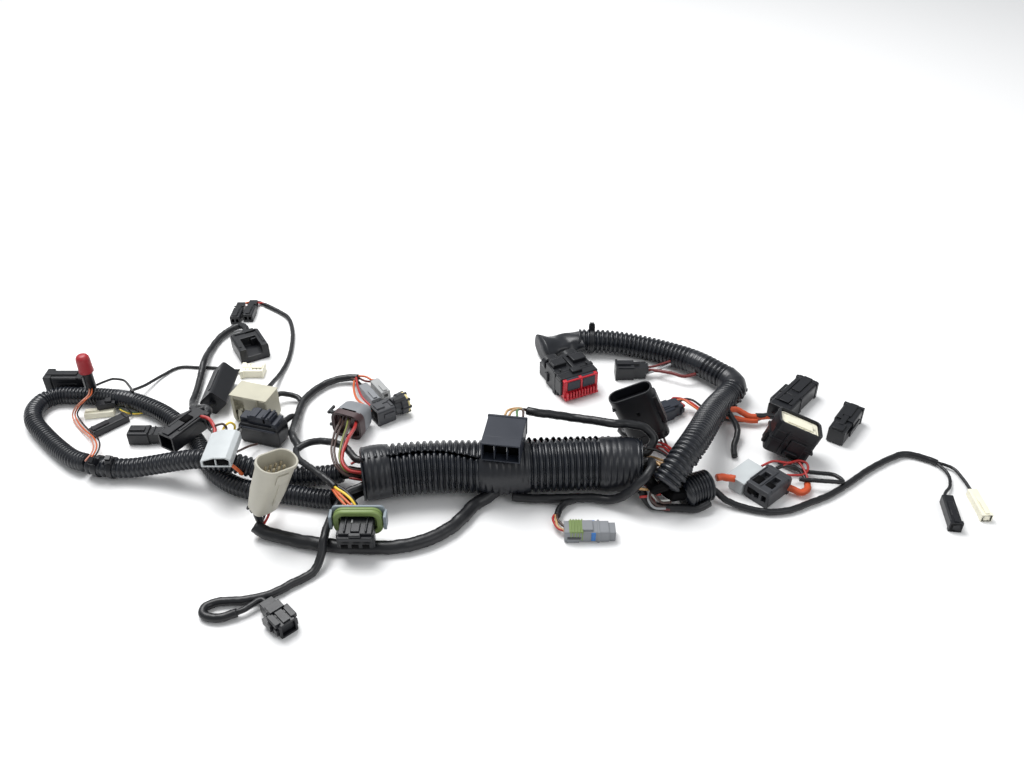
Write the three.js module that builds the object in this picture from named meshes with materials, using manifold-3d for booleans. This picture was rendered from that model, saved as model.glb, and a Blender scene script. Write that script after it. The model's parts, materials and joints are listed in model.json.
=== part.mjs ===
// A vehicle wiring harness as it lies on a bench: a wide split conduit (the trunk) in the middle, a loop of
// narrower conduit at its left end, one more conduit at its right end, and taped leads that end in
// connectors. Millimetres, +Z up, the bench is z = 0. Routes and places are written in the bench frame, whose
// origin lies on the bench under the middle of the trunk. BENCH_CENTRE is the middle of the whole harness in
// that frame, and the exported group is moved by it, so the model's own origin is the middle of its base.
import * as THREE from "three";
import Module from "manifold-3d";
import { mergeGeometries, mergeVertices } from "three/addons/utils/BufferGeometryUtils.js";

const wasm = await Module();
wasm.setup();

// Driving sizes
const BENCH_CENTRE = [-25.1, 58.2];
const CLEARANCE = 0.3;
const TRUNK = { crest: 18.65, valley: 17.2, wall: 1, pitch: 4.3, sides: 12, slit: 0.09, slitAt: -0.95 };
const TAPE = { thickness: 0.7, sides: 20 };
const RIGHT = { crest: 9.75, valley: 8.8, pitch: 6.4, sides: 8, bore: 7.6, boreDepth: 6, bent: true };
const SHORT = { crest: 11.2, valley: 10.4, pitch: 3, sides: 12, bore: 9.4, boreDepth: 9 };
const LOOP_FAR_RADIUS = 6.8;
const LOOP_NEAR_RADIUS = 7.1;
const LOOP_SIDES = 10;
const LOOP_FAR_REST = 7;
const LOOP_NEAR_REST = 7.3;
const WIRE = 1.1;
const HOUSING_WALL = 1.5;
const SEAT_GAP = 0.5;
const FLANGE_THICKNESS = 3;
const LEVER_THICKNESS = 1.5;

// Heights that follow from them
const tapeInside = (TRUNK.crest + CLEARANCE) / Math.cos(Math.PI / TAPE.sides);
const tapeOutside = tapeInside + TAPE.thickness;
const trunkHeight = tapeOutside;
const trunkBore = TRUNK.valley - TRUNK.wall;

const point = ([x, y, z]) => new THREE.Vector3(x, y, z);
const degrees = THREE.MathUtils.degToRad;

// Solids: a closed geometry becomes a solid that can be joined and cut, and back again
function solidFrom(geometry) {
  const bare = geometry.clone();
  bare.deleteAttribute("normal");
  bare.deleteAttribute("uv");
  const merged = mergeVertices(bare, 1e-4);
  return new wasm.Manifold(
    new wasm.Mesh({
      numProp: 3,
      vertProperties: merged.attributes.position.array,
      triVerts: Uint32Array.from(merged.index.array),
    }),
  );
}

function geometryFrom(solid) {
  const mesh = solid.getMesh();
  const geometry = new THREE.BufferGeometry();
  geometry.setAttribute("position", new THREE.BufferAttribute(mesh.vertProperties, 3));
  geometry.setIndex(new THREE.BufferAttribute(mesh.triVerts, 1));
  geometry.computeVertexNormals();
  return geometry;
}

const join = (first, ...others) => others.reduce((sum, next) => sum.add(next), first);
const cut = (first, ...others) => others.reduce((rest, next) => rest.subtract(next), first);

// Conduits are turned about +Y and then bent along their route: y runs along it, z stays up
function bendAlong(geometry, route) {
  const length = route.getLength();
  const up = new THREE.Vector3(0, 0, 1);
  const spots = geometry.attributes.position;
  for (let i = 0; i < spots.count; i++) {
    const share = THREE.MathUtils.clamp(spots.getY(i) / length, 0, 1);
    const along = route.getTangentAt(share);
    const side = along.clone().cross(up).normalize();
    const over = side.clone().cross(along);
    const spot = route.getPointAt(share);
    spot.addScaledVector(side, spots.getX(i)).addScaledVector(over, spots.getZ(i));
    spots.setXYZ(i, spot.x, spot.y, spot.z);
  }
  return geometry;
}

const routeOf = (points) => new THREE.CatmullRomCurve3(points.map(point), false, "centripetal");

// The outer line of a ribbed conduit: a crest and a valley for each rib, and a plain stretch between the ribs
// wherever plain says so
function ribLine(length, { crest, valley, pitch, bent = false }, plain = () => false) {
  const line = [new THREE.Vector2(valley, 0)];
  let wasPlain = false;
  for (let y = pitch; y < length - pitch / 2; y += pitch) {
    const isPlain = plain(y / length);
    if (isPlain !== wasPlain) line.push(new THREE.Vector2(isPlain ? crest : valley, y - pitch / 2));
    if (!isPlain) {
      line.push(new THREE.Vector2(crest, y));
      line.push(new THREE.Vector2(valley, y + pitch / 2));
    } else if (bent || isPlain !== wasPlain) {
      line.push(new THREE.Vector2(crest, y));
    }
    wasPlain = isPlain;
  }
  line.push(new THREE.Vector2(wasPlain ? crest : valley, length));
  return line;
}

// A flat strip of short triangles between two lines that run the same way, the first one further out
function strip(outer, inner) {
  const faces = [];
  let i = 0;
  let j = 0;
  while (i < outer.length - 1 || j < inner.length - 1) {
    const here = [i, outer.length + j];
    if (j === inner.length - 1 || (i < outer.length - 1 && outer[i + 1].y <= inner[j + 1].y)) {
      i += 1;
      faces.push(here[0], i, here[1]);
    } else {
      j += 1;
      faces.push(here[0], outer.length + j, here[1]);
    }
  }
  const geometry = new THREE.BufferGeometry().setFromPoints([...outer, ...inner]);
  geometry.setIndex(faces);
  return geometry;
}

// A conduit with a lengthwise slit: a turned wall that stops short of a full turn, with a strip at each lip
function slitConduit(route, size, bore, plain) {
  const length = route.getLength();
  const outer = ribLine(length, size, plain);
  const inner = Array.from({ length: 9 }, (_, i) => new THREE.Vector2(bore, (length * i) / 8));
  const wall = [...outer, ...inner.toReversed(), outer[0]];
  const start = size.slitAt + size.slit / 2;
  const sweep = 2 * Math.PI - size.slit;
  const turned = new THREE.LatheGeometry(wall, size.sides, start, sweep);
  turned.deleteAttribute("normal");
  turned.deleteAttribute("uv");
  const firstLip = strip(outer, inner).rotateY(start - Math.PI / 2);
  const lastLip = strip(outer, inner).rotateY(start + sweep - Math.PI / 2);
  lastLip.setIndex(Array.from(lastLip.index.array).reverse());
  return solidFrom(bendAlong(mergeGeometries([turned, firstLip, lastLip]), route));
}

// A conduit filled by its wires, with an open mouth at its first end when it has a bore
function filledConduit(route, size, plain) {
  const length = route.getLength();
  const mouth = [
    new THREE.Vector2(0, size.boreDepth),
    new THREE.Vector2(size.bore, size.boreDepth),
    new THREE.Vector2(size.bore, 0),
  ];
  const line = [...mouth, ...ribLine(length, size, plain), new THREE.Vector2(0, length)];
  return solidFrom(bendAlong(new THREE.LatheGeometry(line, size.sides), route));
}

// A plain ring around a route, between two places along it, bent at the stations between them
function ring(route, from, to, inside, outside, sides, stations = 1) {
  const places = Array.from({ length: stations + 1 }, (_, i) => from + ((to - from) * i) / stations);
  const out = places.map((y) => new THREE.Vector2(outside, y));
  const back = places.reverse().map((y) => new THREE.Vector2(inside, y));
  return solidFrom(bendAlong(new THREE.LatheGeometry([back.at(-1), ...out, ...back], sides), route));
}

// A round cord along a route: eight sides, and a step every three diameters
function cord(points, radius, sides = 8, step = radius * 6) {
  const route = routeOf(points);
  const section = new THREE.Shape();
  for (let i = 0; i < sides; i++) {
    const angle = (2 * Math.PI * i) / sides;
    const place = [radius * Math.cos(angle), radius * Math.sin(angle)];
    if (i === 0) section.moveTo(...place);
    else section.lineTo(...place);
  }
  const steps = Math.max(1, Math.ceil(route.getLength() / step));
  return solidFrom(new THREE.ExtrudeGeometry(section, { extrudePath: route, steps, bevelEnabled: false }));
}

// A block of a connector, in the connector's own frame: x across, z up, y from the mating end (-y) to the
// wires (+y). Its middle is at x, z, and it runs back from front for its length
function block({ width, height, length, front, x = 0, z = 0, corner = 0 }) {
  const w = width / 2;
  const h = height / 2;
  const outline = new THREE.Shape();
  if (corner > 0) {
    outline.absarc(w - corner, h - corner, corner, 0, Math.PI / 2);
    outline.absarc(corner - w, h - corner, corner, Math.PI / 2, Math.PI);
    outline.absarc(corner - w, corner - h, corner, Math.PI, 1.5 * Math.PI);
    outline.absarc(w - corner, corner - h, corner, 1.5 * Math.PI, 2 * Math.PI);
  } else {
    outline.moveTo(-w, -h).lineTo(w, -h).lineTo(w, h).lineTo(-w, h);
  }
  const form = { depth: length, bevelEnabled: false, curveSegments: 1 };
  const geometry = new THREE.ExtrudeGeometry(outline, form);
  geometry.rotateX(Math.PI / 2).translate(x, front + length, z);
  return solidFrom(geometry);
}

// A row of equal blocks side by side across x, centred
function row(count, pitch, shape) {
  const places = Array.from({ length: count }, (_, i) => (i - (count - 1) / 2) * pitch);
  return places.map((x) => block({ ...shape, x: x + (shape.x ?? 0) }));
}

const harness = new THREE.Group();
harness.position.set(-BENCH_CENTRE[0], -BENCH_CENTRE[1], 0);

function material(color, roughness = 0.55, metalness = 0) {
  return new THREE.MeshStandardMaterial({ color, roughness, metalness });
}

function piece(name, solid, look) {
  const mesh = new THREE.Mesh(geometryFrom(solid), look);
  mesh.name = name;
  harness.add(mesh);
  return mesh;
}

// Connectors. Each has a size, a place for its middle and turns about the bench axes, made in the order given
const turnAxis = {
  x: new THREE.Vector3(1, 0, 0),
  y: new THREE.Vector3(0, 1, 0),
  z: new THREE.Vector3(0, 0, 1),
};

function pose(size, place, turns) {
  const spin = new THREE.Quaternion();
  for (const [axis, angle] of turns) {
    spin.premultiply(new THREE.Quaternion().setFromAxisAngle(turnAxis[axis], degrees(angle)));
  }
  return { ...size, place: point(place), spin };
}

// A connector that lies flat on something of a given height
function lying(size, [x, y], yaw, on = 0) {
  return pose(size, [x, y, on + size.height / 2], [["z", yaw]]);
}

function connector(name, held, solid, look) {
  const mesh = piece(name, solid, look);
  mesh.position.copy(held.place);
  mesh.quaternion.copy(held.spin);
  return mesh;
}

// The point where a wire meets the back of a connector, and a point straight behind it
function behind(held, x, z, distance = CLEARANCE) {
  const spot = new THREE.Vector3(x, held.length / 2 + distance, z);
  return spot.applyQuaternion(held.spin).add(held.place).toArray();
}

// A wire or a few of them from a place in a lead, through points on its way, to the back of a connector, or
// to an end deeper in it
function tail(points, held, { x = 0, z = 0, radius = WIRE, slack = 5, end = CLEARANCE } = {}) {
  return cord([...points, behind(held, x, z, slack), behind(held, x, z, end)], radius);
}

// The housing of a connector: a body with rounded corners, with what else it has. A neck is a thinner part
// toward the wires, a flange a collar at their end, a mouth a hollow at the mating end, holes its rows of
// cavities
const BARE = { mouth: 0, holes: [0, 0], lever: 0.4, neck: 0, flange: 0, round: 0.12 };
function housing({ width, height, length }, features) {
  const { mouth, holes, lever, neck, flange, round } = { ...BARE, ...features };
  const front = -length / 2;
  const corner = Math.min(width, height) * round;
  const bodyLength = neck > 0 ? length * 0.6 : length;
  let solid = block({ width, height, length: bodyLength, front, corner });
  if (neck > 0) {
    const thinner = { width: width * neck, height: height * neck, length: length - bodyLength + 1 };
    solid = join(solid, block({ ...thinner, front: front + bodyLength - 1 }));
  }
  if (flange > 0) {
    const collar = { width: width + 2 * flange, height, length: FLANGE_THICKNESS };
    solid = join(solid, block({ ...collar, front: length / 2 - FLANGE_THICKNESS }));
  }
  if (lever > 0) {
    const strip = { width: width * lever, height: LEVER_THICKNESS, length: length * 0.45, front: front + 1 };
    solid = join(solid, block({ ...strip, z: height / 2 + LEVER_THICKNESS * 0.3 }));
  }
  if (mouth > 0) {
    const inside = { width: width - 2 * HOUSING_WALL, height: height - 2 * HOUSING_WALL };
    const innerCorner = Math.max(0, corner - HOUSING_WALL);
    solid = cut(solid, block({ ...inside, corner: innerCorner, length: mouth + 1, front: front - 1 }));
  }
  const [columns, rows] = holes;
  const pitch = width / (columns + 0.4);
  const holeHeight = (height / (rows + 0.6)) * 0.6;
  const hole = { width: pitch * 0.6, height: holeHeight, length: length * 0.25, front: front - 1 };
  for (let line = 0; line < rows; line++) {
    const z = ((line - (rows - 1) / 2) * height) / (rows + 0.4);
    solid = cut(solid, ...row(columns, pitch, { ...hole, z }));
  }
  return solid;
}

const SATIN = material(0x242427, 0.45);
const DARK_GRAY = material(0x46484c);
const GRAY = material(0x8b8f92);
const STONE = material(0xb5b2a6);
const LIGHT_GRAY = material(0xb9b9b0);
const SILVER = material(0xd8dadb, 0.4);
const IVORY = material(0xe9e7dc);
const TAPED = material(0x29292b, 0.7);

// The trunk: slit conduit, the wires in it, and three wraps of tape
const trunkRoute = routeOf([
  [-105, -6, trunkHeight],
  [-79, -1, trunkHeight],
  [-51, 2, trunkHeight],
  [-8, 2, trunkHeight],
  [34, 4, trunkHeight],
  [62, 5, trunkHeight],
  [91, 4, trunkHeight],
]);
const trunkLength = trunkRoute.getLength();
const LEFT_WRAP = [0.01, 0.1];
const MIDDLE_WRAP = [0.42, 0.6];
const RIGHT_WRAP = [0.85, 0.985];
const wraps = [LEFT_WRAP, MIDDLE_WRAP, RIGHT_WRAP];
const underTape = (share) => wraps.some(([from, to]) => share > from && share < to);
piece("trunk_conduit", slitConduit(trunkRoute, TRUNK, trunkBore, underTape), material(0x202024, 0.4));

function wrap(name, [from, to]) {
  const solid = ring(trunkRoute, from * trunkLength, to * trunkLength, tapeInside, tapeOutside, TAPE.sides);
  piece(name, solid, TAPED);
}
wrap("trunk_tape_left", LEFT_WRAP);
wrap("trunk_tape_middle", MIDDLE_WRAP);
wrap("trunk_tape_right", RIGHT_WRAP);

const CORE = { recess: 4, radius: 13.8 };
const coreLine = [
  [0, CORE.recess],
  [CORE.radius, CORE.recess],
  [CORE.radius, trunkLength * 0.25],
  [CORE.radius, trunkLength * 0.5],
  [CORE.radius, trunkLength * 0.75],
  [CORE.radius, trunkLength - CORE.recess],
  [0, trunkLength - CORE.recess],
];
const coreProfile = coreLine.map(([r, y]) => new THREE.Vector2(r, y));
const core = solidFrom(bendAlong(new THREE.LatheGeometry(coreProfile, 12), trunkRoute));

// Points in the mouths of the trunk, from the middle of the wires' end face: out of the mouth, back and up
function mouthPoint(share, sign) {
  const at = trunkRoute.getPointAt(share);
  const along = trunkRoute.getTangentAt(share);
  return (out, y, z) => [
    at.x + sign * out * along.x - y * along.y,
    at.y + sign * out * along.y + y * along.x,
    at.z + z,
  ];
}
const inLeftMouth = mouthPoint(CORE.recess / trunkLength, -1);
const inRightMouth = mouthPoint(1 - CORE.recess / trunkLength, 1);

// Two points in line with the first stretch of a conduit, where the wires that run into it end: depth is how
// far they reach into its mouth
function meeting([first, second], depth = -0.5) {
  const along = point(second).sub(point(first)).normalize();
  return [-6, depth].map((reach) => point(first).addScaledVector(along, reach).toArray());
}

// The conduits of the loop
const farPoints = [
  [-124, -19, 7.8],
  [-134, -17, LOOP_FAR_REST],
  [-155, -13, LOOP_FAR_REST],
  [-176, -10, LOOP_FAR_REST],
  [-195, -4, LOOP_FAR_REST],
  [-212, 9, LOOP_FAR_REST],
  [-226, 28, LOOP_FAR_REST],
  [-237, 46, LOOP_FAR_REST],
  [-254, 65, LOOP_FAR_REST],
  [-274, 82, LOOP_FAR_REST],
  [-293, 92, 8],
  [-304, 96, 8.5],
  [-315, 99, 8],
  [-330, 102, LOOP_FAR_REST],
  [-345, 103, LOOP_FAR_REST],
  [-361, 103, LOOP_FAR_REST],
  [-370, 97, LOOP_FAR_REST],
  [-373, 84, LOOP_FAR_REST],
  [-368, 70, LOOP_FAR_REST],
  [-354, 54, LOOP_FAR_REST],
  [-336, 37, LOOP_FAR_REST],
  [-320, 24, 8],
  [-309, 19, 8.7],
];
const nearPoints = [
  [-306.3, 17.3, 8.9],
  [-292, 14, 8.9],
  [-276, 13, 9],
  [-256, 12, 13],
  [-238, 9, 19],
  [-224, 7, 22.6],
  [-210, 5, 23.2],
  [-196, 4, 21.5],
  [-180, 3, 16.5],
  [-163, 4, 10.5],
  [-146, 5, 8.2],
  [-132, 5, 9.5],
  [-121, 4, 12],
];
piece("loop_far_conduit", cord(farPoints, LOOP_FAR_RADIUS, LOOP_SIDES, 14), material(0x232326, 0.45));
piece("loop_near_conduit", cord(nearPoints, LOOP_NEAR_RADIUS, LOOP_SIDES, 14), material(0x1d1d20, 0.4));

// Tape round a narrow conduit: its inside clears the corners of the conduit
const COLLAR = { sides: 12, thickness: 0.7 };
function collar(points, from, to, radius, stations = 1) {
  const inside = (radius + CLEARANCE) / Math.cos(Math.PI / COLLAR.sides);
  return ring(routeOf(points), from, to, inside, inside + COLLAR.thickness, COLLAR.sides, stations);
}

// The head of a cable tie, a small block that stands on a collar
function tieHead([x, y, z], yaw) {
  const head = block({ width: 7, height: 6, length: 5, front: -2.5 });
  return head.transform(new THREE.Matrix4().makeRotationZ(degrees(yaw)).setPosition(x, y, z).toArray());
}
const cornerTape = collar(nearPoints, 1, 15, LOOP_NEAR_RADIUS + 0.2);
piece("loop_corner_tape", join(cornerTape, tieHead([-296, 15, 20.2], 60)), TAPED);

// The right conduit, the sleeve at its far end and the short conduit that it passes over
const RIGHT_REST = 10;
const rightPoints = [
  [104, -21, 24],
  [112, -13, 31.5],
  [121, -1, 36],
  [128, 11, 35.5],
  [137, 30, 31.5],
  [146, 51, 25.5],
  [157, 74, 18],
  [168, 93, 12.5],
  [177, 107, 12.2],
  [175, 117, 12.2],
  [166, 128, 12.2],
  [152, 143, 11.8],
  [133, 158, RIGHT_REST],
  [109, 169, RIGHT_REST],
  [84, 174, 11.5],
  [57, 176, 11.5],
];
const rightRoute = routeOf(rightPoints);
const rightLength = rightRoute.getLength();
const BRANCH_TAPE = [0.35, 0.4];
const BEND_TAPE = [0.44, 0.645];
const rightWraps = [BRANCH_TAPE, BEND_TAPE];
const underRightTape = (share) => rightWraps.some(([from, to]) => share > from && share < to);
piece("right_conduit", filledConduit(rightRoute, RIGHT, underRightTape), material(0x232326, 0.4));

const shortPoints = [
  [119, -16.5, SHORT.crest + 0.2],
  [128, -11.5, SHORT.crest + 0.2],
  [138, -7.5, SHORT.crest + 0.2],
];
const shortRoute = routeOf([...shortPoints].reverse());
piece("short_conduit", filledConduit(shortRoute, SHORT), material(0x1f1f22, 0.4));

// The wires in the trunk also reach out of both mouths into the conduits
const stubRoutes = [
  [[inLeftMouth(-3, 6, -5), inLeftMouth(5, 7, -6), ...meeting(nearPoints.toReversed())], 4.6],
  [[inLeftMouth(-3, -5, -7), inLeftMouth(4, -6, -8), ...meeting(farPoints)], 4.4],
  [[inRightMouth(-3, -6, 2), inRightMouth(5, -9, 0), ...meeting(rightPoints, RIGHT.boreDepth - 1.5)], 4],
  [[inRightMouth(-3, 3, -6), inRightMouth(8, 0, -8), ...meeting(shortPoints)], 4.6],
];
const stubs = (extra = 0) => stubRoutes.map(([points, radius]) => cord(points, radius + extra, 8, 7));
piece("trunk_wire_bundle", join(core, ...stubs()), material(0x6a4a3c, 0.6));

// Connectors of the loop
const loopPlug = lying({ width: 12, height: 18, length: 32 }, [-359, 117.3], -90);
connector("loop_plug", loopPlug, housing(loopPlug, { holes: [2, 2], flange: 0.8 }), SATIN);

const POST = { radius: 3.8, top: 36, x: -333, y: 102.5 };
const CAP = { radius: 5.7, bottom: 30, top: 47.5 };
function turned(points, sides) {
  const line = points.map(([r, z]) => new THREE.Vector2(r, z));
  return solidFrom(new THREE.LatheGeometry(line, sides).rotateX(Math.PI / 2));
}
const postFoot = LOOP_FAR_REST + LOOP_FAR_RADIUS + 2 * CLEARANCE;
const post = turned(
  [
    [0, postFoot],
    [POST.radius, postFoot],
    [POST.radius, POST.top],
    [0, POST.top],
  ],
  10,
);
const cap = turned(
  [
    [0, POST.top + CLEARANCE],
    [POST.radius + CLEARANCE, POST.top + CLEARANCE],
    [POST.radius + CLEARANCE, CAP.bottom],
    [CAP.radius, CAP.bottom],
    [CAP.radius, CAP.top - 4],
    [CAP.radius * 0.8, CAP.top - 1],
    [CAP.radius * 0.4, CAP.top],
    [0, CAP.top],
  ],
  10,
);
piece("capped_tube", post, SATIN).position.set(POST.x, POST.y, 0);
piece("red_cap", cap, material(0xb8303a, 0.5)).position.set(POST.x, POST.y, 0);

const ivoryTab = lying({ width: 8, height: 5, length: 22 }, [-324, 86.5], -80);
connector("ivory_tab_connector", ivoryTab, housing(ivoryTab, { holes: [1, 1] }), IVORY);
const blackTab = lying({ width: 8, height: 6, length: 29 }, [-311, 70.5], -44);
connector("black_tab_connector", blackTab, housing(blackTab, { holes: [2, 1], lever: 0.6 }), SATIN);
const leftPlug = lying({ width: 12, height: 11, length: 26 }, [-276.5, 55], -90);
connector("left_plug", leftPlug, housing(leftPlug, { neck: 0.8, holes: [2, 1] }), SATIN);
const pairSocket = lying({ width: 15, height: 14, length: 36 }, [-241.5, 42], -30, 14.3);
connector("pair_socket", pairSocket, housing(pairSocket, { mouth: 12, flange: 1.5 }), SATIN);
const silver = lying({ width: 21, height: 8.5, length: 31 }, [-203, 4], 0, 30.8);
connector("silver_connector", silver, housing(silver, { holes: [4, 1], lever: 0.5 }), SILVER);

// Connectors behind the loop
const ivoryBlock = lying({ width: 31, height: 25, length: 19 }, [-199.5, 84.5], -17);
const latchWindow = block({ width: 9, height: 8, length: 6, front: -11, x: -9, z: 5 });
const ivoryBody = cut(housing(ivoryBlock, { holes: [4, 1], lever: 0 }), latchWindow);
connector("ivory_block", ivoryBlock, ivoryBody, material(0xc9c5b0));
const sealedBlock = lying({ width: 34, height: 18, length: 15 }, [-188, 57], -17);
connector("sealed_block", sealedBlock, housing(sealedBlock, { holes: [5, 1], lever: 0.5 }), SATIN);
const box = pose({ width: 16, height: 16, length: 42 }, [-234, 109, 10.55], [["y", 45], ["z", 180]]);
connector("box_connector", box, housing(box, { mouth: 14, lever: 0 }), SATIN);
const ivoryRear = lying({ width: 12, height: 7, length: 19 }, [-215.7, 142.7], 90);
connector("ivory_rear_connector", ivoryRear, housing(ivoryRear, { holes: [2, 1], flange: 1 }), IVORY);
const hood = lying({ width: 25, height: 14, length: 28 }, [-224.5, 174], 30);
const hoodCavity = block({ width: 13, height: 12, length: 19, front: -15, z: 5 });
connector("hood_connector", hood, cut(housing(hood, { lever: 0 }), hoodCavity), SATIN);
const twinSize = { width: 9, height: 8, length: 27 };
const twinLeft = lying(twinSize, [-248.5, 233], 0);
const twinRight = lying(twinSize, [-238, 237], 0);
connector("twin_connector_left", twinLeft, housing(twinLeft, { holes: [2, 1], neck: 0.8 }), SATIN);
connector("twin_connector_right", twinRight, housing(twinRight, { holes: [2, 1], neck: 0.8 }), SATIN);

// Connectors behind the left mouth of the trunk
const wedge = lying({ width: 24, height: 22, length: 20 }, [-121.3, 69.3], 158);
const wedgeRear = block({ width: 17, height: 14, length: 6, front: wedge.length / 2 - 5 });
const wedgeSlope = block({ width: 30, height: 14, length: 16, front: -16, z: 15 });
connector("wedge_connector", wedge, cut(housing(wedge, { lever: 0 }), wedgeRear, wedgeSlope), SATIN);
const smallGray = lying({ width: 8, height: 8, length: 20 }, [-106.5, 115.5], 33);
connector("small_gray_connector", smallGray, housing(smallGray, { holes: [1, 1] }), LIGHT_GRAY);
const longGray = lying({ width: 8, height: 9, length: 24 }, [-114, 106], 33);
connector("long_gray_connector", longGray, housing(longGray, { holes: [2, 1] }), GRAY);
const openGray = lying({ width: 14, height: 14, length: 15 }, [-100.5, 81.2], -55);
connector("open_gray_connector", openGray, housing(openGray, { mouth: 7, lever: 0.5 }), DARK_GRAY);
const round = pose({ width: 17, height: 17, length: 13 }, [-88.6, 89.6, 8.8], [["z", 125]]);
const roundLine = [[0, -6.5], [8.5, -6.5], [8.5, 1], [7, 1], [7, 6.5], [0, 6.5]];
const roundProfile = roundLine.map(([r, y]) => new THREE.Vector2(r, y));
const roundBody = solidFrom(new THREE.LatheGeometry(roundProfile, 16));
const roundMouth = block({ width: 8, height: 8, length: 6, front: -8 });
connector("round_connector", round, cut(roundBody, roundMouth), SATIN);

// Connectors in front of the loop and the trunk
const receptacleTurns = [["x", -90], ["z", 47], ["y", 21]];
const receptacle = pose({ width: 28.5, height: 18, length: 46 }, [-160.3, -38, 38], receptacleTurns);
const pins = [-4, 4].flatMap((z) => row(4, 5.5, { width: 1.4, height: 1.4, length: 12, front: -12, z }));
const receptacleBody = housing(receptacle, { mouth: 22, lever: 0.45, round: 0.42 });
connector("gray_receptacle", receptacle, join(receptacleBody, ...pins), STONE);
const sealRing = { width: 32, height: 20, length: 4 };
const green = lying({ width: 21, height: 17, length: 19 }, [-101.5, -60], 0, 10.4);
const greenLatches = [-15.5, 15.5].map((x) => block({ width: 4, height: 8, length: 16, front: -8, x }));
const greenArms = [-12, 12].map((x) => block({ width: 5, height: 5, length: 5, front: 2, x }));
const greenBody = join(housing(green, { holes: [3, 2], lever: 0.5 }), ...greenLatches, ...greenArms);
connector("green_seal_connector", green, greenBody, SATIN);
const seal = pose(sealRing, [-101.5, -60 + 12, 10.4 + 8.7], []);
connector("green_seal", seal, block({ ...sealRing, front: -2, corner: 4 }), material(0x3f9a6a, 0.6));
const sensor = lying({ width: 12, height: 11, length: 26 }, [-143.2, -120.5], 43);
const sensorTabs = [-7, 7].map((x) => block({ width: 4, height: 5, length: 9, front: -6, x }));
connector("sensor_connector", sensor, join(housing(sensor, { mouth: 8, neck: 0.75 }), ...sensorTabs), SATIN);
const fourWay = lying({ width: 12, height: 9, length: 30 }, [50, -47], 90, 0.5);
const fourWayLock = block({ width: 9, height: 2.4, length: 7, front: -4, z: 4.8 });
const fourWayBody = join(housing(fourWay, { holes: [4, 1], lever: 0 }), fourWayLock);
connector("four_way_connector", fourWay, fourWayBody, GRAY);
const relay = lying({ width: 26.5, height: 12.7, length: 32 }, [-5.4, 2], -9, 2 * trunkHeight + CLEARANCE);
const skirt = { width: relay.width, height: 3.2, length: 5 };
const relaySkirt = block({ ...skirt, front: -relay.length / 2, z: -relay.height / 2 - 1.2 });
const relayBody = join(housing(relay, { holes: [3, 1], lever: 0.3, flange: 0.8 }), relaySkirt);
connector("relay_socket", relay, relayBody, SATIN);

// Connectors right of the trunk
const faceSize = { width: 29, height: 17, length: 20 };
const aroundFace = 2 * (HOUSING_WALL + SEAT_GAP);
const shellHeight = faceSize.height + aroundFace;
const shellSize = { width: faceSize.width + aroundFace + 1, height: shellHeight, length: 34 };
const controller = lying(shellSize, [43.7, 134.2], 26);
const faceRoom = { width: faceSize.width + 2 * SEAT_GAP, height: faceSize.height + 2 * SEAT_GAP, length: 13 };
const hollow = block({ ...faceRoom, front: -19 });
connector("controller_shell", controller, cut(housing(controller, { lever: 0.6 }), hollow), SATIN);
const windows = row(2, 13, { width: 8, height: 6, length: 5, front: -11, z: 2.5 });
const teeth = row(7, 3.8, { width: 2, height: 2.6, length: 3, front: -11, z: -5.5 });
const faceBlock = cut(block({ ...faceSize, front: -faceSize.length / 2, corner: 1 }), ...windows, ...teeth);
const facePlace = new THREE.Vector3(0, -16.6, 0).applyQuaternion(controller.spin).add(controller.place);
const face = { ...faceSize, place: facePlace, spin: controller.spin };
connector("controller_face", face, faceBlock, material(0xb3333c, 0.5));
const flat = pose({ width: 32, height: 14, length: 46 }, [95, 51, 28.2], [["x", -90], ["y", -24]]);
const flatRib = block({ width: 4, height: 17, length: 30, front: -12, x: -9 });
const flatBody = join(housing(flat, { lever: 0, round: 0.42 }), flatRib);
const flatSlot = block({ width: 28, height: 9, length: 25, front: -24, corner: 3.5 });
connector("flat_receptacle", flat, cut(flatBody, flatSlot), SATIN);
const back = lying({ width: 12, height: 13, length: 25 }, [98, 139], -90);
connector("back_connector", back, housing(back, { mouth: 6, neck: 0.8 }), SATIN);
const darkGray = lying({ width: 14, height: 11, length: 22 }, [122, 86], -60);
connector("dark_gray_connector", darkGray, housing(darkGray, { mouth: 7, neck: 0.8 }), DARK_GRAY);
const long = lying({ width: 18, height: 14, length: 50 }, [223, 98.5], 139);
const longLedge = block({ width: 6, height: 5, length: 26, front: -12, x: 10 });
connector("long_black_connector", long, join(housing(long, { holes: [3, 2], lever: 0.4 }), longLedge), SATIN);
const squareTurns = [["x", -90], ["z", -12], ["y", 20]];
const square = pose({ width: 33, height: 20, length: 27 }, [205.6, 37.3, 18.9], squareTurns);
connector("square_black_connector", square, housing(square, { mouth: 12, lever: 0.5 }), SATIN);
const aroundInsert = 2 * (HOUSING_WALL + SEAT_GAP);
const insertSize = { width: square.width - aroundInsert, height: square.height - aroundInsert, length: 10 };
const insertPlace = new THREE.Vector3(0, -7, 0).applyQuaternion(square.spin).add(square.place);
const insert = { ...insertSize, place: insertPlace, spin: square.spin };
connector("square_insert", insert, housing(insertSize, { holes: [5, 2], lever: 0 }), IVORY);
const rightBlack = lying({ width: 15, height: 14, length: 38 }, [255, 66.5], 144);
connector("right_black_connector", rightBlack, housing(rightBlack, { holes: [3, 2], neck: 0.85 }), SATIN);
const windowed = lying({ width: 20, height: 14, length: 27 }, [181, -4.5], -48);
const topWindows = row(2, 8, { width: 5, height: 6, length: 10, front: -5, z: 6 });
const windowedBody = cut(housing(windowed, { holes: [3, 1], lever: 0 }), ...topWindows);
connector("windowed_gray_connector", windowed, windowedBody, DARK_GRAY);
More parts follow.
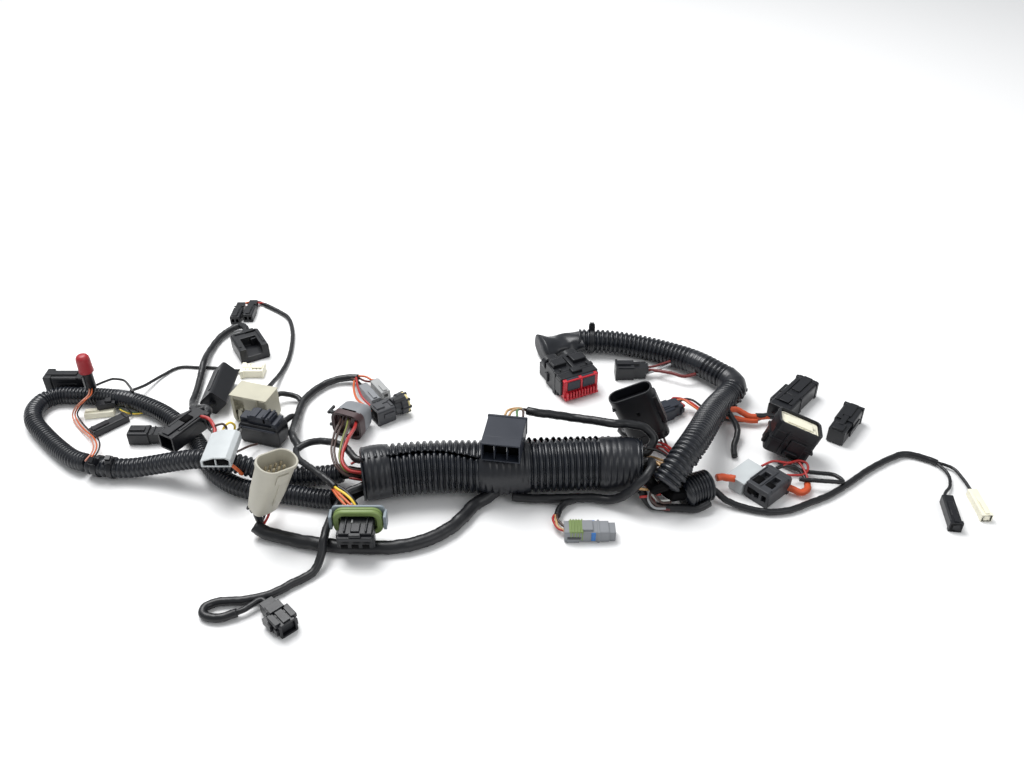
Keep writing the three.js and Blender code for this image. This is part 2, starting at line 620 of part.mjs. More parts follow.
const banded = lying({ width: 11, height: 12, length: 22 }, [166.7, 5.25], 132);
const band = block({ width: 12.6, height: 12.6, length: 4, front: -3, z: 0.4 });
connector("banded_connector", banded, join(housing(banded, { holes: [2, 1], lever: 0 }), band), SILVER);
const tailGray = lying({ width: 8, height: 8, length: 29 }, [302.5, -28.5], -8);
connector("tail_gray_connector", tailGray, housing(tailGray, { holes: [1, 1] }), GRAY);
const tailIvory = lying({ width: 7, height: 6, length: 27 }, [325.7, -19.3], 0);
connector("tail_ivory_connector", tailIvory, housing(tailIvory, { holes: [1, 1] }), IVORY);

// Leads. Each node is the leads that spring from one place. First the left mouth of the trunk: the lead over
// the loop, which divides toward the green-seal connector and the group behind, the wires of the wedge
// connector, and the hairpin lead of the sensor
const WIRED = material(0x1f1f21, 0.6);
const MOUTH_ROOT = { radius: 12, gap: 0.9, thickness: 1.2 };
function mouthRoot(mouth) {
  const ends = [MOUTH_ROOT.gap, MOUTH_ROOT.gap + MOUTH_ROOT.thickness];
  return cord(ends.map((out) => mouth(out, 0, 0)), MOUTH_ROOT.radius, 12, 4);
}
const fork = [-156, 22, 19];
const overLead = [
  inLeftMouth(1, 5, 7),
  inLeftMouth(8, 6, 7),
  [-119, 15, 27],
  [-135, 25, 24],
  [-148, 28, 20],
  fork,
];
const greenLead = [fork, [-152, 9, 22], [-138, -8, 26], [-124, -22, 27], [-113, -30, 25]];
const rearLead = [
  [-154, 24, 19],
  [-162, 40, 18],
  [-165, 56, 11],
  [-167, 79, 5],
  [-166, 100, 4],
  [-159, 115, 4],
  [-149, 126, 4],
  [-137, 130, 5],
  [-126, 129, 6],
];
const sensorLead = [
  inLeftMouth(1, -10, -2),
  [-113, -22, 17],
  [-118, -35, 17],
  [-122, -48, 14],
  [-123, -62, 14.5],
  [-124, -73, 8.5],
  [-128, -82, 3.5],
  [-140, -92, 3.2],
  [-152, -101, 3.2],
  [-169, -106, 3.2],
  [-182, -107, 3.2],
  [-190, -111, 3.2],
  [-190, -117, 3.2],
  [-181, -120, 3.2],
  [-169, -116.5, 4],
];
const wedgeWires = [
  inLeftMouth(1.4, 1, 8),
  inLeftMouth(9, 2, 9),
  [-119, 12, 30.5],
  [-127, 25, 20],
  [-128, 38, 12],
];
const openGrayWire = [
  [-129, 129, 6],
  [-127, 110, 8],
  [-122, 92, 9],
  behind(openGray, -4, 2, -17.5),
  behind(openGray, -4, 2, -8.3),
];
piece("left_mouth_leads", cut(join(
  mouthRoot(inLeftMouth),
  cord(overLead, 2.7),
  cord(greenLead, 2.4),
  tail([[-114.5, -29, 25.3]], seal, { x: 3, slack: 8 }),
  tail([[-114, -30, 25]], seal, { x: -6, z: 3, slack: 8 }),
  cord(rearLead, 3),
  tail([[-128, 129.4, 6]], smallGray),
  tail([[-134, 130, 5.4], [-128, 124, 7]], longGray),
  cord(openGrayWire, WIRE),
  tail([[-167, 76, 5.5], [-170, 76, 7]], sealedBlock, { x: 10, radius: 1.6 }),
  tail([[-166.5, 97, 4], [-172, 104, 5], [-185, 104, 8]], ivoryBlock, { x: 8, z: -4 }),
  tail(wedgeWires, wedge, { x: 2, radius: 2, end: CLEARANCE - 5 }),
  cord(sensorLead, 2.9),
  tail([[-171, -117, 3.8], [-164, -114, 4.5]], sensor, { radius: 1.8 }),
), ...stubs(0.4)), WIRED);

const frontLead = [
  [-172, -46, 9],
  [-166, -49, 6],
  [-158, -51, 5],
  [-142, -56, 5],
  [-121, -60, 5],
  [-100, -62, 5],
  [-74, -61, 5],
  [-55, -54, 5],
  [-40, -42, 5],
  [-31, -29, 5],
  [-26, -21, 5],
  [-18, -18.7, 5],
];
piece("front_lead", join(
  cord(frontLead, 4.75),
  tail([[-171, -46, 8]], receptacle, { x: -4, radius: 1.6, slack: 3 }),
  tail([[-169, -47, 8], [-166, -40, 10]], receptacle, { x: 5, radius: 1.6, slack: 3 }),
), WIRED);

// Leads of the loop: those that leave the taped branch on the far conduit, the one to the hood connector, and
// the thin one between the ivory block and the twin connectors
const branchTape = collar(farPoints, 218, 229, LOOP_FAR_RADIUS + 0.2);
const thinLead = [
  [-303, 103.6, 11.4],
  [-298, 118, 6],
  [-290, 138, 2],
  [-280, 150, 1.5],
  [-262, 150, 1.5],
  [-246, 149, 1.5],
  [-233, 145, 2],
];
const postWires = [
  [-306, 101.2, 14.8],
  [-313, 108, 15],
  [-320, 115, 12],
  [-328, 115, 13],
  [-332, 110, 18],
  [-333, 108, 25],
];
piece("loop_branch_leads", join(
  branchTape,
  tail(thinLead, ivoryRear, { radius: 1.25, slack: 3 }),
  cord(postWires, WIRE),
  tail([[-303, 87.2, 8]], blackTab, { slack: 4 }),
), TAPED);
const hoodLead = [
  behind(pairSocket, 0, 0),
  behind(pairSocket, 0, 0, 6),
  [-235, 74, 17],
  [-246, 83, 10],
  [-253, 95, 5],
  [-255, 115, 3.6],
  [-257, 136, 4.5],
  [-258, 150, 6.7],
  [-259, 173, 3.6],
  [-254, 197, 3.6],
  [-243, 210, 4.5],
  [-235, 203, 7],
];
piece("hood_lead", join(
  tail(hoodLead, hood, { radius: 2.9 }),
  tail([[-240, 77.5, 14.5]], box, { radius: 1.8, slack: 4 }),
  tail([[-236, 73, 17.5], [-246, 66, 18], [-256, 60, 15]], leftPlug),
), WIRED);
const twinLead = [
  [-239, 256, 4],
  [-228, 250, 2.2],
  [-214, 239, 2.2],
  [-203, 228, 2.2],
  [-195, 207, 2.2],
  [-191, 183, 2.2],
  [-190, 160, 2.2],
  [-192, 140, 3],
  [-194, 122, 7],
];
piece("twin_lead", join(
  tail(twinLead, ivoryBlock, { radius: 1.9, slack: 8 }),
  tail([[-238, 255.5, 3.6]], twinRight, { slack: 2 }),
  tail([[-239, 256, 3.8], [-245, 256, 4]], twinLeft, { slack: 5 }),
), WIRED);

// Leads of the right mouth of the trunk, one over it to the relay socket and one under it that divides toward
// the four-way connector, and the wires of the flat receptacle
const relayLead = [
  inRightMouth(1, 4, 8),
  inRightMouth(8, 4, 8),
  [100, 14, 35],
  [94, 19, 41],
  [82, 21, 43],
  [72, 19, 45],
  [60, 26, 42],
  [46, 33, 39],
  [30, 33, 42],
  [16, 29, 45],
];
const underLead = [
  inRightMouth(1, -6, 7),
  inRightMouth(9, -6, 8),
  [96, -12, 32],
  [92, -19, 30],
  [86, -21, 24],
  [80, -21, 16],
  [70, -18, 7],
  [55, -15, 4.5],
  [34, -16, 4],
  [13, -16, 4],
  [0, -16.5, 4],
];
piece("right_mouth_leads", cut(join(
  mouthRoot(inRightMouth),
  cord(relayLead, 3.2),
  tail([[17, 29.4, 45], [9, 26, 47]], relay, { x: 3, radius: 1.6 }),
  cord(underLead, 3),
  tail([[42, -15.5, 4], [35, -24, 5], [26, -34, 5], [21, -43, 5]], fourWay, { radius: 1.8 }),
  tail([inRightMouth(1, 8, -3), [97, 14, 12], [106, 26, 4], [113, 38, 3]], flat, { radius: 1.4, slack: 2 }),
), ...stubs(0.4)), WIRED);

// Leads in the mouth of the short conduit: the long thin one that divides at its end, and the short one above
// it
const SHORT_ROOT = { radius: 7.4, depth: 8 };
const [outside, inside] = meeting([...shortPoints].reverse(), SHORT_ROOT.depth);
const tailLead = [
  inside,
  [141, -10, 9],
  [150, -17, 5],
  [165, -23, 2.8],
  [179, -26, 2.8],
  [193, -24, 2.8],
  [208, -17, 2.8],
  [224, -9, 2.8],
  [242, 4, 2.8],
  [261, 19, 2.8],
  [280, 31, 2.8],
  [292, 36, 2.8],
  [302, 33, 2.8],
  [313, 26, 2.8],
];
piece("short_mouth_leads", join(
  cord([inside, [136, -8.3, SHORT.crest + 0.2]], SHORT_ROOT.radius, 10, 4),
  cord(tailLead, 2.4),
  tail([[312, 26.7, 2.8], [316, 14, 2.8], [313, 1, 2.8]], tailGray, { slack: 4 }),
  tail([[312, 26.7, 2.8], [322, 20, 2.8], [325, 8, 2.8]], tailIvory, { slack: 4 }),
  tail([[135, -8, 13], [146, -4, 14]], banded, { radius: 1.6, slack: 3 }),
), WIRED);

// Leads of the right conduit: from the taped branch half way, and from its taped bend
const branchAt = (share) => rightRoute.getPointAt(share).toArray();
function wrapRight([from, to]) {
  const stations = Math.ceil(((to - from) * rightLength) / RIGHT.pitch);
  return collar(rightPoints, from * rightLength, to * rightLength, RIGHT.crest + 0.3, stations);
}
const [bx, by, bz] = branchAt(0.375);
piece("right_branch_leads", join(
  wrapRight(BRANCH_TAPE),
  tail([[bx + 10.5, by - 3, bz - 2], [bx + 18, by + 2, 12], [185, 76, 7]], long, { radius: 2.2, slack: 4 }),
  cord([[bx + 10, by - 4, bz - 3], [bx + 15, by - 14, 9], [166, 42, 4], [165, 33, 3]], 2.4),
), TAPED);
piece("right_bend_leads", join(
  wrapRight(BEND_TAPE),
  tail([[150.5, 130, 9], [141, 128, 8], [130, 133, 8]], back, { radius: 1.4 }),
  tail([[163.2, 115.8, 9.5], [150, 106, 7], [140, 97, 6]], darkGray, { radius: 1.6, slack: 4 }),
), TAPED);

const SLEEVE = { width: 25, height: 14, split: 2.5, collar: 11.8 };
const sleevePoints = [
  [55, 176, RIGHT_REST],
  [46, 174.5, 9],
  [33, 167, 8.5],
  [20, 160, 8],
];
const sleeveSection = new THREE.Shape();
sleeveSection.absellipse(0, 0, SLEEVE.height / 2, SLEEVE.width / 2, 0, 2 * Math.PI);
const sleeveForm = { extrudePath: routeOf(sleevePoints), steps: 4, curveSegments: 6, bevelEnabled: false };
const sleeveBody = solidFrom(new THREE.ExtrudeGeometry(sleeveSection, sleeveForm));
const sleeveCollar = cord([[70, 175, 12], [60, 176, 12], [52, 175.6, 12]], SLEEVE.collar, 12, 9);
const conduitEnd = [[78, 174.5, 11.6], ...rightPoints.slice(-1), [55.6, 176.1, 11.5]];
const collarRoom = cord(conduitEnd, RIGHT.crest + 1.3, 12, 12);
const sleeveSplit = cord([[36, 163, 8.5], [24, 155, 8], [14, 149, 8]], SLEEVE.split, 4, 12);
piece("right_sleeve", join(
  cut(join(sleeveCollar, sleeveBody), collarRoom, sleeveSplit),
  tieHead([66, 175.5, 25], 5),
  tail([[26, 163, 8], [17, 161, 8], [18, 155, 9]], controller, { x: -8, radius: 2, slack: 4 }),
  tail([[27, 164, 8], [22, 167, 8], [26, 156, 9]], controller, { x: 2, radius: 2, slack: 3 }),
), TAPED);

// Wires between the connectors at the right
piece("square_wires", join(
  tail([[222, 12, 5], [232, 10, 5], [236, 2, 6], [222, 0, 8]], windowed, { radius: 1.6, slack: 5 }),
  tail([[222, 12, 5], [210, 16, 4], [197, 26, 3]], square, { x: -8, radius: 1.6 }),
  tail([[234, 6, 5.5], [242, 20, 5]], rightBlack, { radius: 1.4, slack: 10 }),
), WIRED);

harness.updateMatrixWorld(true);
export default harness;
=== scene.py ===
import json
import math

import bpy
import numpy as np
from mathutils import Matrix, Vector

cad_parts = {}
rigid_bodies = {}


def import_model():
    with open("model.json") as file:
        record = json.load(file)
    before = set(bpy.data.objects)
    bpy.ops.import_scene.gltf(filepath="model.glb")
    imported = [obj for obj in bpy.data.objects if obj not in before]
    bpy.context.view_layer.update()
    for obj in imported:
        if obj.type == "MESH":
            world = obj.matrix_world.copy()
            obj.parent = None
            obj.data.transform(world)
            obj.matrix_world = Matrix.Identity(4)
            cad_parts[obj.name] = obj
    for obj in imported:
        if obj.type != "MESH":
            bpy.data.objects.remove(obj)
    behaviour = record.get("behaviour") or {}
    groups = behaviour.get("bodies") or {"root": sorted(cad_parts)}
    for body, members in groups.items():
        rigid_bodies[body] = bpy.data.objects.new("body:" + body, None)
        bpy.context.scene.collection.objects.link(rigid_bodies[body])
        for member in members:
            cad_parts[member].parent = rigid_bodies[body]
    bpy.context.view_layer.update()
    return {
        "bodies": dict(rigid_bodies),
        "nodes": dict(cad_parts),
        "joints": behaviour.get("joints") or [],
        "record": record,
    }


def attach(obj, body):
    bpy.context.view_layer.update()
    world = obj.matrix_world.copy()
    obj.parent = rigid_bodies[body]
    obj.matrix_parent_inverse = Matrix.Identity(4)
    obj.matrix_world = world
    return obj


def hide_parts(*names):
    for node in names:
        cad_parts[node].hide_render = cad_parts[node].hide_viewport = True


# The looks of a vehicle wiring harness on a white bench. Places are written as in the part: millimetres in
# the bench frame, whose origin lies under the middle of the trunk. spot() turns them into metres in the
# part's own frame.
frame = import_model()
nodes = frame["nodes"]

MM = 0.001
PART_ORIGIN = Vector((-25.1, 58.2, 0))


def spot(point):
    """A place in the bench frame, in millimetres, as a place in metres in the part's frame."""
    return (Vector(point) - PART_ORIGIN) * MM


# Camera: it stands before the bench and looks down at it
CAMERA_PLACE = (0, -513, 466)
CAMERA_PITCH = 36
FOCAL_PIXELS = 963
IMAGE_WIDTH = 1024
SENSOR_WIDTH = 36

camera_data = bpy.data.cameras.new("camera")
camera_data.sensor_width = SENSOR_WIDTH
camera_data.lens = FOCAL_PIXELS / IMAGE_WIDTH * SENSOR_WIDTH
camera = bpy.data.objects.new("camera", camera_data)
camera.location = spot(CAMERA_PLACE)
camera.rotation_euler = (math.radians(90 - CAMERA_PITCH), 0, 0)
bpy.context.scene.collection.objects.link(camera)
bpy.context.scene.camera = camera


# Materials
def plain(name, color, roughness):
    """A material with one principled shader, and its node tree to add to."""
    material = bpy.data.materials.new(name)
    material.use_nodes = True
    shader = material.node_tree.nodes["Principled BSDF"]
    shader.inputs["Base Color"].default_value = (*color, 1)
    shader.inputs["Roughness"].default_value = roughness
    return material, material.node_tree, shader


PATCH_SCALE = 90
GLOSS_BELOW = 0.08
GLOSS_ABOVE = 0.12
GRAIN_DEPTH = 0.0002


def moulded(name, color, roughness, mottle=0.12, grain=0.15, grain_size=0.0006, dust=0.0, gleam=0.5):
    """Moulded plastic: a little uneven in colour and gloss, with a fine grain and a little dust in its
    lighter patches.
    """
    material, tree, shader = plain(name, color, roughness)
    shader.inputs["Specular IOR Level"].default_value = gleam
    place = tree.nodes.new("ShaderNodeTexCoord")
    patches = tree.nodes.new("ShaderNodeTexNoise")
    patches.inputs["Scale"].default_value = PATCH_SCALE
    patches.inputs["Detail"].default_value = 4
    tree.links.new(place.outputs["Object"], patches.inputs["Vector"])
    shade = tree.nodes.new("ShaderNodeMix")
    shade.data_type = "RGBA"
    shade.inputs["A"].default_value = (*(c * (1 - mottle) for c in color), 1)
    shade.inputs["B"].default_value = (*(min(1, c * (1 + mottle) + dust) for c in color), 1)
    tree.links.new(patches.outputs["Fac"], shade.inputs["Factor"])
    tree.links.new(shade.outputs["Result"], shader.inputs["Base Color"])
    gloss = tree.nodes.new("ShaderNodeMapRange")
    gloss.inputs["To Min"].default_value = roughness - GLOSS_BELOW
    gloss.inputs["To Max"].default_value = roughness + GLOSS_ABOVE
    tree.links.new(patches.outputs["Fac"], gloss.inputs["Value"])
    tree.links.new(gloss.outputs["Result"], shader.inputs["Roughness"])
    fine = tree.nodes.new("ShaderNodeTexNoise")
    fine.inputs["Scale"].default_value = 1 / grain_size
    tree.links.new(place.outputs["Object"], fine.inputs["Vector"])
    bump = tree.nodes.new("ShaderNodeBump")
    bump.inputs["Strength"].default_value = grain
    bump.inputs["Distance"].default_value = GRAIN_DEPTH
    tree.links.new(fine.outputs["Fac"], bump.inputs["Height"])
    tree.links.new(bump.outputs["Normal"], shader.inputs["Normal"])
    return material


CONDUIT = moulded("conduit_black", (0.007, 0.0088, 0.013), 0.26, 0.25, 0.05, 0.003, 0.002, 0.5)
CLOTH_TAPE = moulded("cloth_tape", (0.007, 0.0083, 0.012), 0.32, 0.25, 0.5, 0.003, 0.003, 0.45)
LEAD_TAPE = moulded("lead_tape_black", (0.006, 0.0066, 0.0085), 0.36, 0.3, 0.6, 0.003, 0.003, 0.42)
BLACK = moulded("black_moulded", (0.006, 0.0068, 0.0095), 0.34, 0.2, 0.12, 0.0008, 0.002, 0.4)
SLATE = moulded("slate_moulded", (0.018, 0.022, 0.033), 0.4, 0.15, 0.12, 0.0008, 0.003, 0.35)
# Painted shade: a near-black, dull material for thin plates in the mouths, slots, pits and holes of
# connectors, and on the wire bundle inside the trunk, where there is only shade. One small dark patch on the
# flat receptacle's face uses it too.
CAVITY_SHADE = moulded("painted_cavity_shade", (0.0015, 0.0015, 0.002), 0.7, gleam=0.1)
DARK_GRAY = moulded("dark_gray_moulded", (0.032, 0.034, 0.04), 0.42)
BROWN_BLACK = moulded("brown_black_moulded", (0.045, 0.02, 0.022), 0.4)
BLUE_GRAY = moulded("blue_gray_moulded", (0.2, 0.24, 0.27), 0.45)
GRAY = moulded("gray_moulded", (0.2, 0.21, 0.225), 0.45)
STONE = moulded("stone_moulded", (0.47, 0.45, 0.38), 0.45)
LIGHT_GRAY = moulded("light_gray_moulded", (0.34, 0.345, 0.345), 0.42)
SILVER = moulded("silver_moulded", (0.5, 0.53, 0.54), 0.36)
IVORY = moulded("ivory_moulded", (0.82, 0.79, 0.64), 0.42)
BEIGE = moulded("beige_moulded", (0.47, 0.45, 0.35), 0.45)
RED = moulded("red_moulded", (0.5, 0.012, 0.025), 0.38)
CAP_RED = moulded("cap_red", (0.34, 0.014, 0.022), 0.42)
GREEN = moulded("green_rubber", (0.17, 0.24, 0.075), 0.42)
BLUE = moulded("blue_moulded", (0.02, 0.14, 0.42), 0.4)
YELLOW = moulded("yellow_rubber", (0.72, 0.62, 0.28), 0.4)
PIN = moulded("pin_metal", (0.35, 0.3, 0.2), 0.35)
ORANGE_TAPE = moulded("orange_tape", (0.54, 0.075, 0.018), 0.42, 0.25, 0.4, 0.002)

WIRE_COLORS = {
    "red": (0.38, 0.022, 0.02),
    "maroon": (0.13, 0.012, 0.012),
    "orange": (0.58, 0.12, 0.035),
    "yellow": (0.8, 0.56, 0.05),
    "green": (0.09, 0.19, 0.08),
    "olive": (0.2, 0.22, 0.06),
    "brown": (0.055, 0.03, 0.025),
    "tan": (0.5, 0.31, 0.14),
    "gray": (0.3, 0.31, 0.32),
    "white": (0.8, 0.8, 0.76),
    "black": (0.007, 0.007, 0.008),
    "pink": (0.55, 0.24, 0.17),
}
WIRES = {name: moulded("wire_" + name, color, 0.35, 0.08, 0.05) for name, color in WIRE_COLORS.items()}


# Meshes
SHARP_ANGLE = math.radians(35)
BOX_CORNERS = [(x, y, z) for z in (-1, 1) for x, y in ((-1, -1), (1, -1), (1, 1), (-1, 1))]
BOX_FACES = [(0, 3, 2, 1), (4, 5, 6, 7), (0, 1, 5, 4), (1, 2, 6, 5), (2, 3, 7, 6), (3, 0, 4, 7)]


def add(name, vertices, faces, material):
    """A new piece that rides with the harness."""
    mesh = bpy.data.meshes.new(name)
    mesh.from_pydata([tuple(v) for v in vertices], [], faces)
    mesh.materials.append(material)
    mesh.polygons.foreach_set("use_smooth", [True] * len(mesh.polygons))
    mesh.update()
    piece = bpy.data.objects.new(name, mesh)
    bpy.context.scene.collection.objects.link(piece)
    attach(piece, "root")
    return piece


CURVE_STEPS = 24


def along(points, step):
    """Evenly spaced places on a centripetal Catmull-Rom curve through the points, with their tangents."""
    knots = np.array([spot(p) for p in points])
    first = 2 * knots[0] - knots[1]
    last = 2 * knots[-1] - knots[-2]
    knots = np.vstack([first, knots, last])
    fine = []
    for i in range(1, len(knots) - 2):
        a, b, c, d = knots[i - 1:i + 3]
        t0 = 0
        t1 = t0 + np.linalg.norm(b - a) ** 0.5
        t2 = t1 + np.linalg.norm(c - b) ** 0.5
        t3 = t2 + np.linalg.norm(d - c) ** 0.5
        for t in np.linspace(t1, t2, CURVE_STEPS, endpoint=False):
            ab = (t1 - t) / (t1 - t0) * a + (t - t0) / (t1 - t0) * b
            bc = (t2 - t) / (t2 - t1) * b + (t - t1) / (t2 - t1) * c
            cd = (t3 - t) / (t3 - t2) * c + (t - t2) / (t3 - t2) * d
            abc = (t2 - t) / (t2 - t0) * ab + (t - t0) / (t2 - t0) * bc
            bcd = (t3 - t) / (t3 - t1) * bc + (t - t1) / (t3 - t1) * cd
            fine.append((t2 - t) / (t2 - t1) * abc + (t - t1) / (t2 - t1) * bcd)
    fine.append(knots[-2])
    fine = np.array(fine)
    reach = np.concatenate([[0], np.cumsum(np.linalg.norm(np.diff(fine, axis=0), axis=1))])
    count = max(2, int(round(reach[-1] / step)) + 1)
    wanted = np.linspace(0, reach[-1], count)
    places = np.stack([np.interp(wanted, reach, fine[:, k]) for k in range(3)], axis=1)
    tangents = np.gradient(places, axis=0)
    tangents /= np.linalg.norm(tangents, axis=1)[:, None]
    return places, tangents, wanted


def sides_of(tangents):
    """A level side and an upward direction at each place of a route."""
    up = np.array([0.0, 0.0, 1.0])
    side = np.cross(tangents, up)
    side /= np.maximum(np.linalg.norm(side, axis=1)[:, None], 1e-6)
    over = np.cross(side, tangents)
    return side, over


def carried(tangents):
    """A side and an upward direction that turn as little as they can along a route."""
    start = np.array([0.0, 0.0, 1.0]) if abs(tangents[0][2]) < 0.9 else np.array([0.0, 1.0, 0.0])
    side = np.cross(tangents[0], start)
    side /= np.linalg.norm(side)
    out = [side]
    for tangent in tangents[1:]:
        side = out[-1] - tangent * np.dot(out[-1], tangent)
        out.append(side / np.linalg.norm(side))
    side = np.array(out)
    return side, np.cross(side, tangents)


def sweep(name, points, radius, material, sides, step, level=False, shape=(1, 1)):
    """A tube along a route. radius is a size in millimetres, or a function of the distance and the angle.
    shape stretches it sideways and upward."""
    places, tangents, wanted = along(points, step * MM)
    side, over = sides_of(tangents) if level else carried(tangents)
    angles = np.linspace(0, 2 * math.pi, sides, endpoint=False)
    width, height = shape
    rings = []
    for i, (place, reach) in enumerate(zip(places, wanted)):
        size = radius(reach / MM, angles) if callable(radius) else np.full(sides, radius)
        ring = place + np.outer(np.cos(angles) * size * width, side[i]) * MM
        rings.append(ring + np.outer(np.sin(angles) * size * height, over[i]) * MM)
    vertices = np.vstack(rings + [places[:1], places[-1:]])
    count = len(rings)
    faces = []
    for i in range(count - 1):
        for j in range(sides):
            k = (j + 1) % sides
            faces.append((i * sides + j, (i + 1) * sides + j, (i + 1) * sides + k, i * sides + k))
    start, end = count * sides, count * sides + 1
    faces += [(start, j, (j + 1) % sides) for j in range(sides)]
    last = (count - 1) * sides
    faces += [(end, last + (j + 1) % sides, last + j) for j in range(sides)]
    piece = add(name, vertices, faces, material)
    return piece, places


VALLEY_POWER = 2.4


def ribs(crest, valley, pitch):
    """The radius of a ribbed conduit at a distance along it: rounded crests between narrow valleys."""
    def radius(reach, angles):
        dip = (0.5 + 0.5 * np.cos(2 * math.pi * reach / pitch)) ** VALLEY_POWER
        return np.zeros(len(angles)) + crest - (crest - valley) * dip
    return radius


def wound(size, turn, edge=0.07, wrinkle=0.045, seed=0.0):
    """The radius of a taped lead: a spiral of tape whose edge stands a little proud, and soft creases."""
    def radius(reach, angles):
        phase = (reach / turn + angles / (2 * math.pi) + seed) % 1
        crease = np.sin(reach * 0.9 + 3 * angles + seed * 7) * np.sin(reach * 0.37 + angles * 2 + seed)
        return size * (1 - edge * phase + wrinkle * crease)
    return radius


# Conduits
FAR_POINTS = [
    (-124, -19, 7.8), (-134, -17, 7), (-155, -13, 7), (-176, -10, 7), (-195, -4, 7), (-212, 9, 7),
    (-226, 28, 7), (-237, 46, 7), (-254, 65, 7), (-274, 82, 7), (-293, 92, 8), (-304, 96, 8.5),
    (-315, 99, 8), (-330, 102, 7), (-345, 103, 7), (-361, 103, 7), (-370, 97, 7), (-373, 84, 7),
    (-368, 70, 7), (-354, 54, 7), (-336, 37, 7), (-320, 24, 8), (-309, 19, 8.7),
]
NEAR_POINTS = [
    (-306.3, 17.3, 8.9), (-292, 14, 8.9), (-276, 13, 9), (-256, 12, 13), (-238, 9, 19), (-224, 7, 22.6),
    (-210, 5, 23.2), (-196, 4, 21.5), (-180, 3, 16.5), (-163, 4, 10.5), (-146, 5, 8.2), (-132, 5, 9.5),
    (-121, 4, 12),
]
RIGHT_POINTS = [
    (104, -21, 24), (112, -13, 31.5), (121, -1, 36), (128, 11, 35.5), (137, 30, 31.5), (146, 51, 25.5),
    (157, 74, 18), (168, 93, 12.5), (177, 107, 12.2), (175, 117, 12.2), (166, 128, 12.2), (152, 143, 11.8),
    (133, 158, 10), (109, 169, 10), (84, 174, 11.5), (57, 176, 11.5),
]
SHORT_POINTS = [(138, -7.5, 11.4), (128, -11.5, 11.4), (119, -16.5, 11.4)]
TRUNK_HEIGHT = 19.89
TRUNK_POINTS = [
    (-105, -6, TRUNK_HEIGHT), (-79, -1, TRUNK_HEIGHT), (-51, 2, TRUNK_HEIGHT), (-8, 2, TRUNK_HEIGHT),
    (34, 4, TRUNK_HEIGHT), (62, 5, TRUNK_HEIGHT), (91, 4, TRUNK_HEIGHT),
]


PART_COUNT = 12


def part_of(points, low, high):
    """The points of a route between two shares of its length."""
    places, _, _ = along(points, 0.001)
    wanted = np.linspace(low, high, PART_COUNT) * (len(places) - 1)
    picked = [Vector(places[int(round(i))]) / MM + PART_ORIGIN for i in wanted]
    return [tuple(p) for p in picked]


SLIT_HALF = 0.11
SLIT_DEPTH = 1.4
LIP_ANGLE = 0.3
LIP_RISE = 1.1
FAINT_RIB = 0.3


def conduit(name, points, crest, depth, pitch, smooth, sides, torn=None):
    """A ribbed conduit, taped at some shares of its length. torn is the angle of a slit with ragged lips."""
    ribbed = ribs(crest, crest - depth, pitch)
    faint = ribs(crest, crest - FAINT_RIB, pitch)
    length = float(along(points, 0.002)[2][-1]) / MM

    def radius(reach, angles):
        share = reach / length
        for low, high in smooth:
            if low < share < high:
                return faint(reach, angles)
        size = ribbed(reach, angles)
        if torn is not None:
            off = np.abs((angles - torn + math.pi) % (2 * math.pi) - math.pi)
            size = np.where(off < SLIT_HALF, size - SLIT_DEPTH, size)
            ragged = LIP_RISE * (size > crest - 0.3 * depth) * (math.sin(reach * 0.83) > -0.2)
            size = np.where((off >= SLIT_HALF) & (off < LIP_ANGLE), size + ragged, size)
        return size

    piece, _ = sweep(name + "_fine", points, radius, CONDUIT, sides, pitch / 8, level=True)
    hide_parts(name)


SLIT_SIDES = 112
PROUD_LIP = 1.5
SUNK_LIP = 0.9


def slit_conduit(name, points, crest, depth, pitch, wall, slit_at, slit):
    """A ribbed conduit with an open lengthwise slit: an outer and an inner wall joined at both lips. slit_at
    holds shares of the length and the angle of the slit at each. The ribs don't meet across the slit, and one
    lip stands proud of the other."""
    places, tangents, wanted = along(points, pitch / 8 * MM)
    side, over = sides_of(tangents)
    ribbed = ribs(crest, crest - depth, pitch)
    turn = np.linspace(0, 1, SLIT_SIDES)
    lift = PROUD_LIP * np.clip(1 - turn * 12, 0, 1) - SUNK_LIP * np.clip(1 - (1 - turn) * 14, 0, 1)
    outer, inner = [], []
    for i, (place, reach) in enumerate(zip(places, wanted)):
        start = math.radians(float(np.interp(reach / wanted[-1], *slit_at)))
        angles = start + slit / 2 + turn * (2 * math.pi - slit)
        ragged = 0.75 + 0.25 * math.sin(reach / MM * 0.7)
        size = (ribbed(reach / MM + turn * pitch / 2, angles) + lift * ragged)[:, None]
        spokes = np.outer(np.cos(angles), side[i]) + np.outer(np.sin(angles), over[i])
        outer.append(place + spokes * size * MM)
        inner.append(place + spokes * (size - wall) * MM)
    count = len(outer)
    vertices = np.vstack(outer + inner)
    base = count * SLIT_SIDES
    faces = []
    for i in range(count - 1):
        for j in range(SLIT_SIDES - 1):
            a, b = i * SLIT_SIDES + j, (i + 1) * SLIT_SIDES + j
            faces.append((a, b, b + 1, a + 1))
            faces.append((base + a, base + a + 1, base + b + 1, base + b))
        for j in (0, SLIT_SIDES - 1):
            a, b = i * SLIT_SIDES + j, (i + 1) * SLIT_SIDES + j
            faces.append((a, base + a, base + b, b) if j == 0 else (a, b, base + b, base + a))
    for i in (0, count - 1):
        for j in range(SLIT_SIDES - 1):
            a = i * SLIT_SIDES + j
            faces.append((a, a + 1, base + a + 1, base + a) if i == 0 else (a, base + a, base + a + 1, a + 1))
    piece = add(name + "_fine", vertices, faces, CONDUIT)
    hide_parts(name)


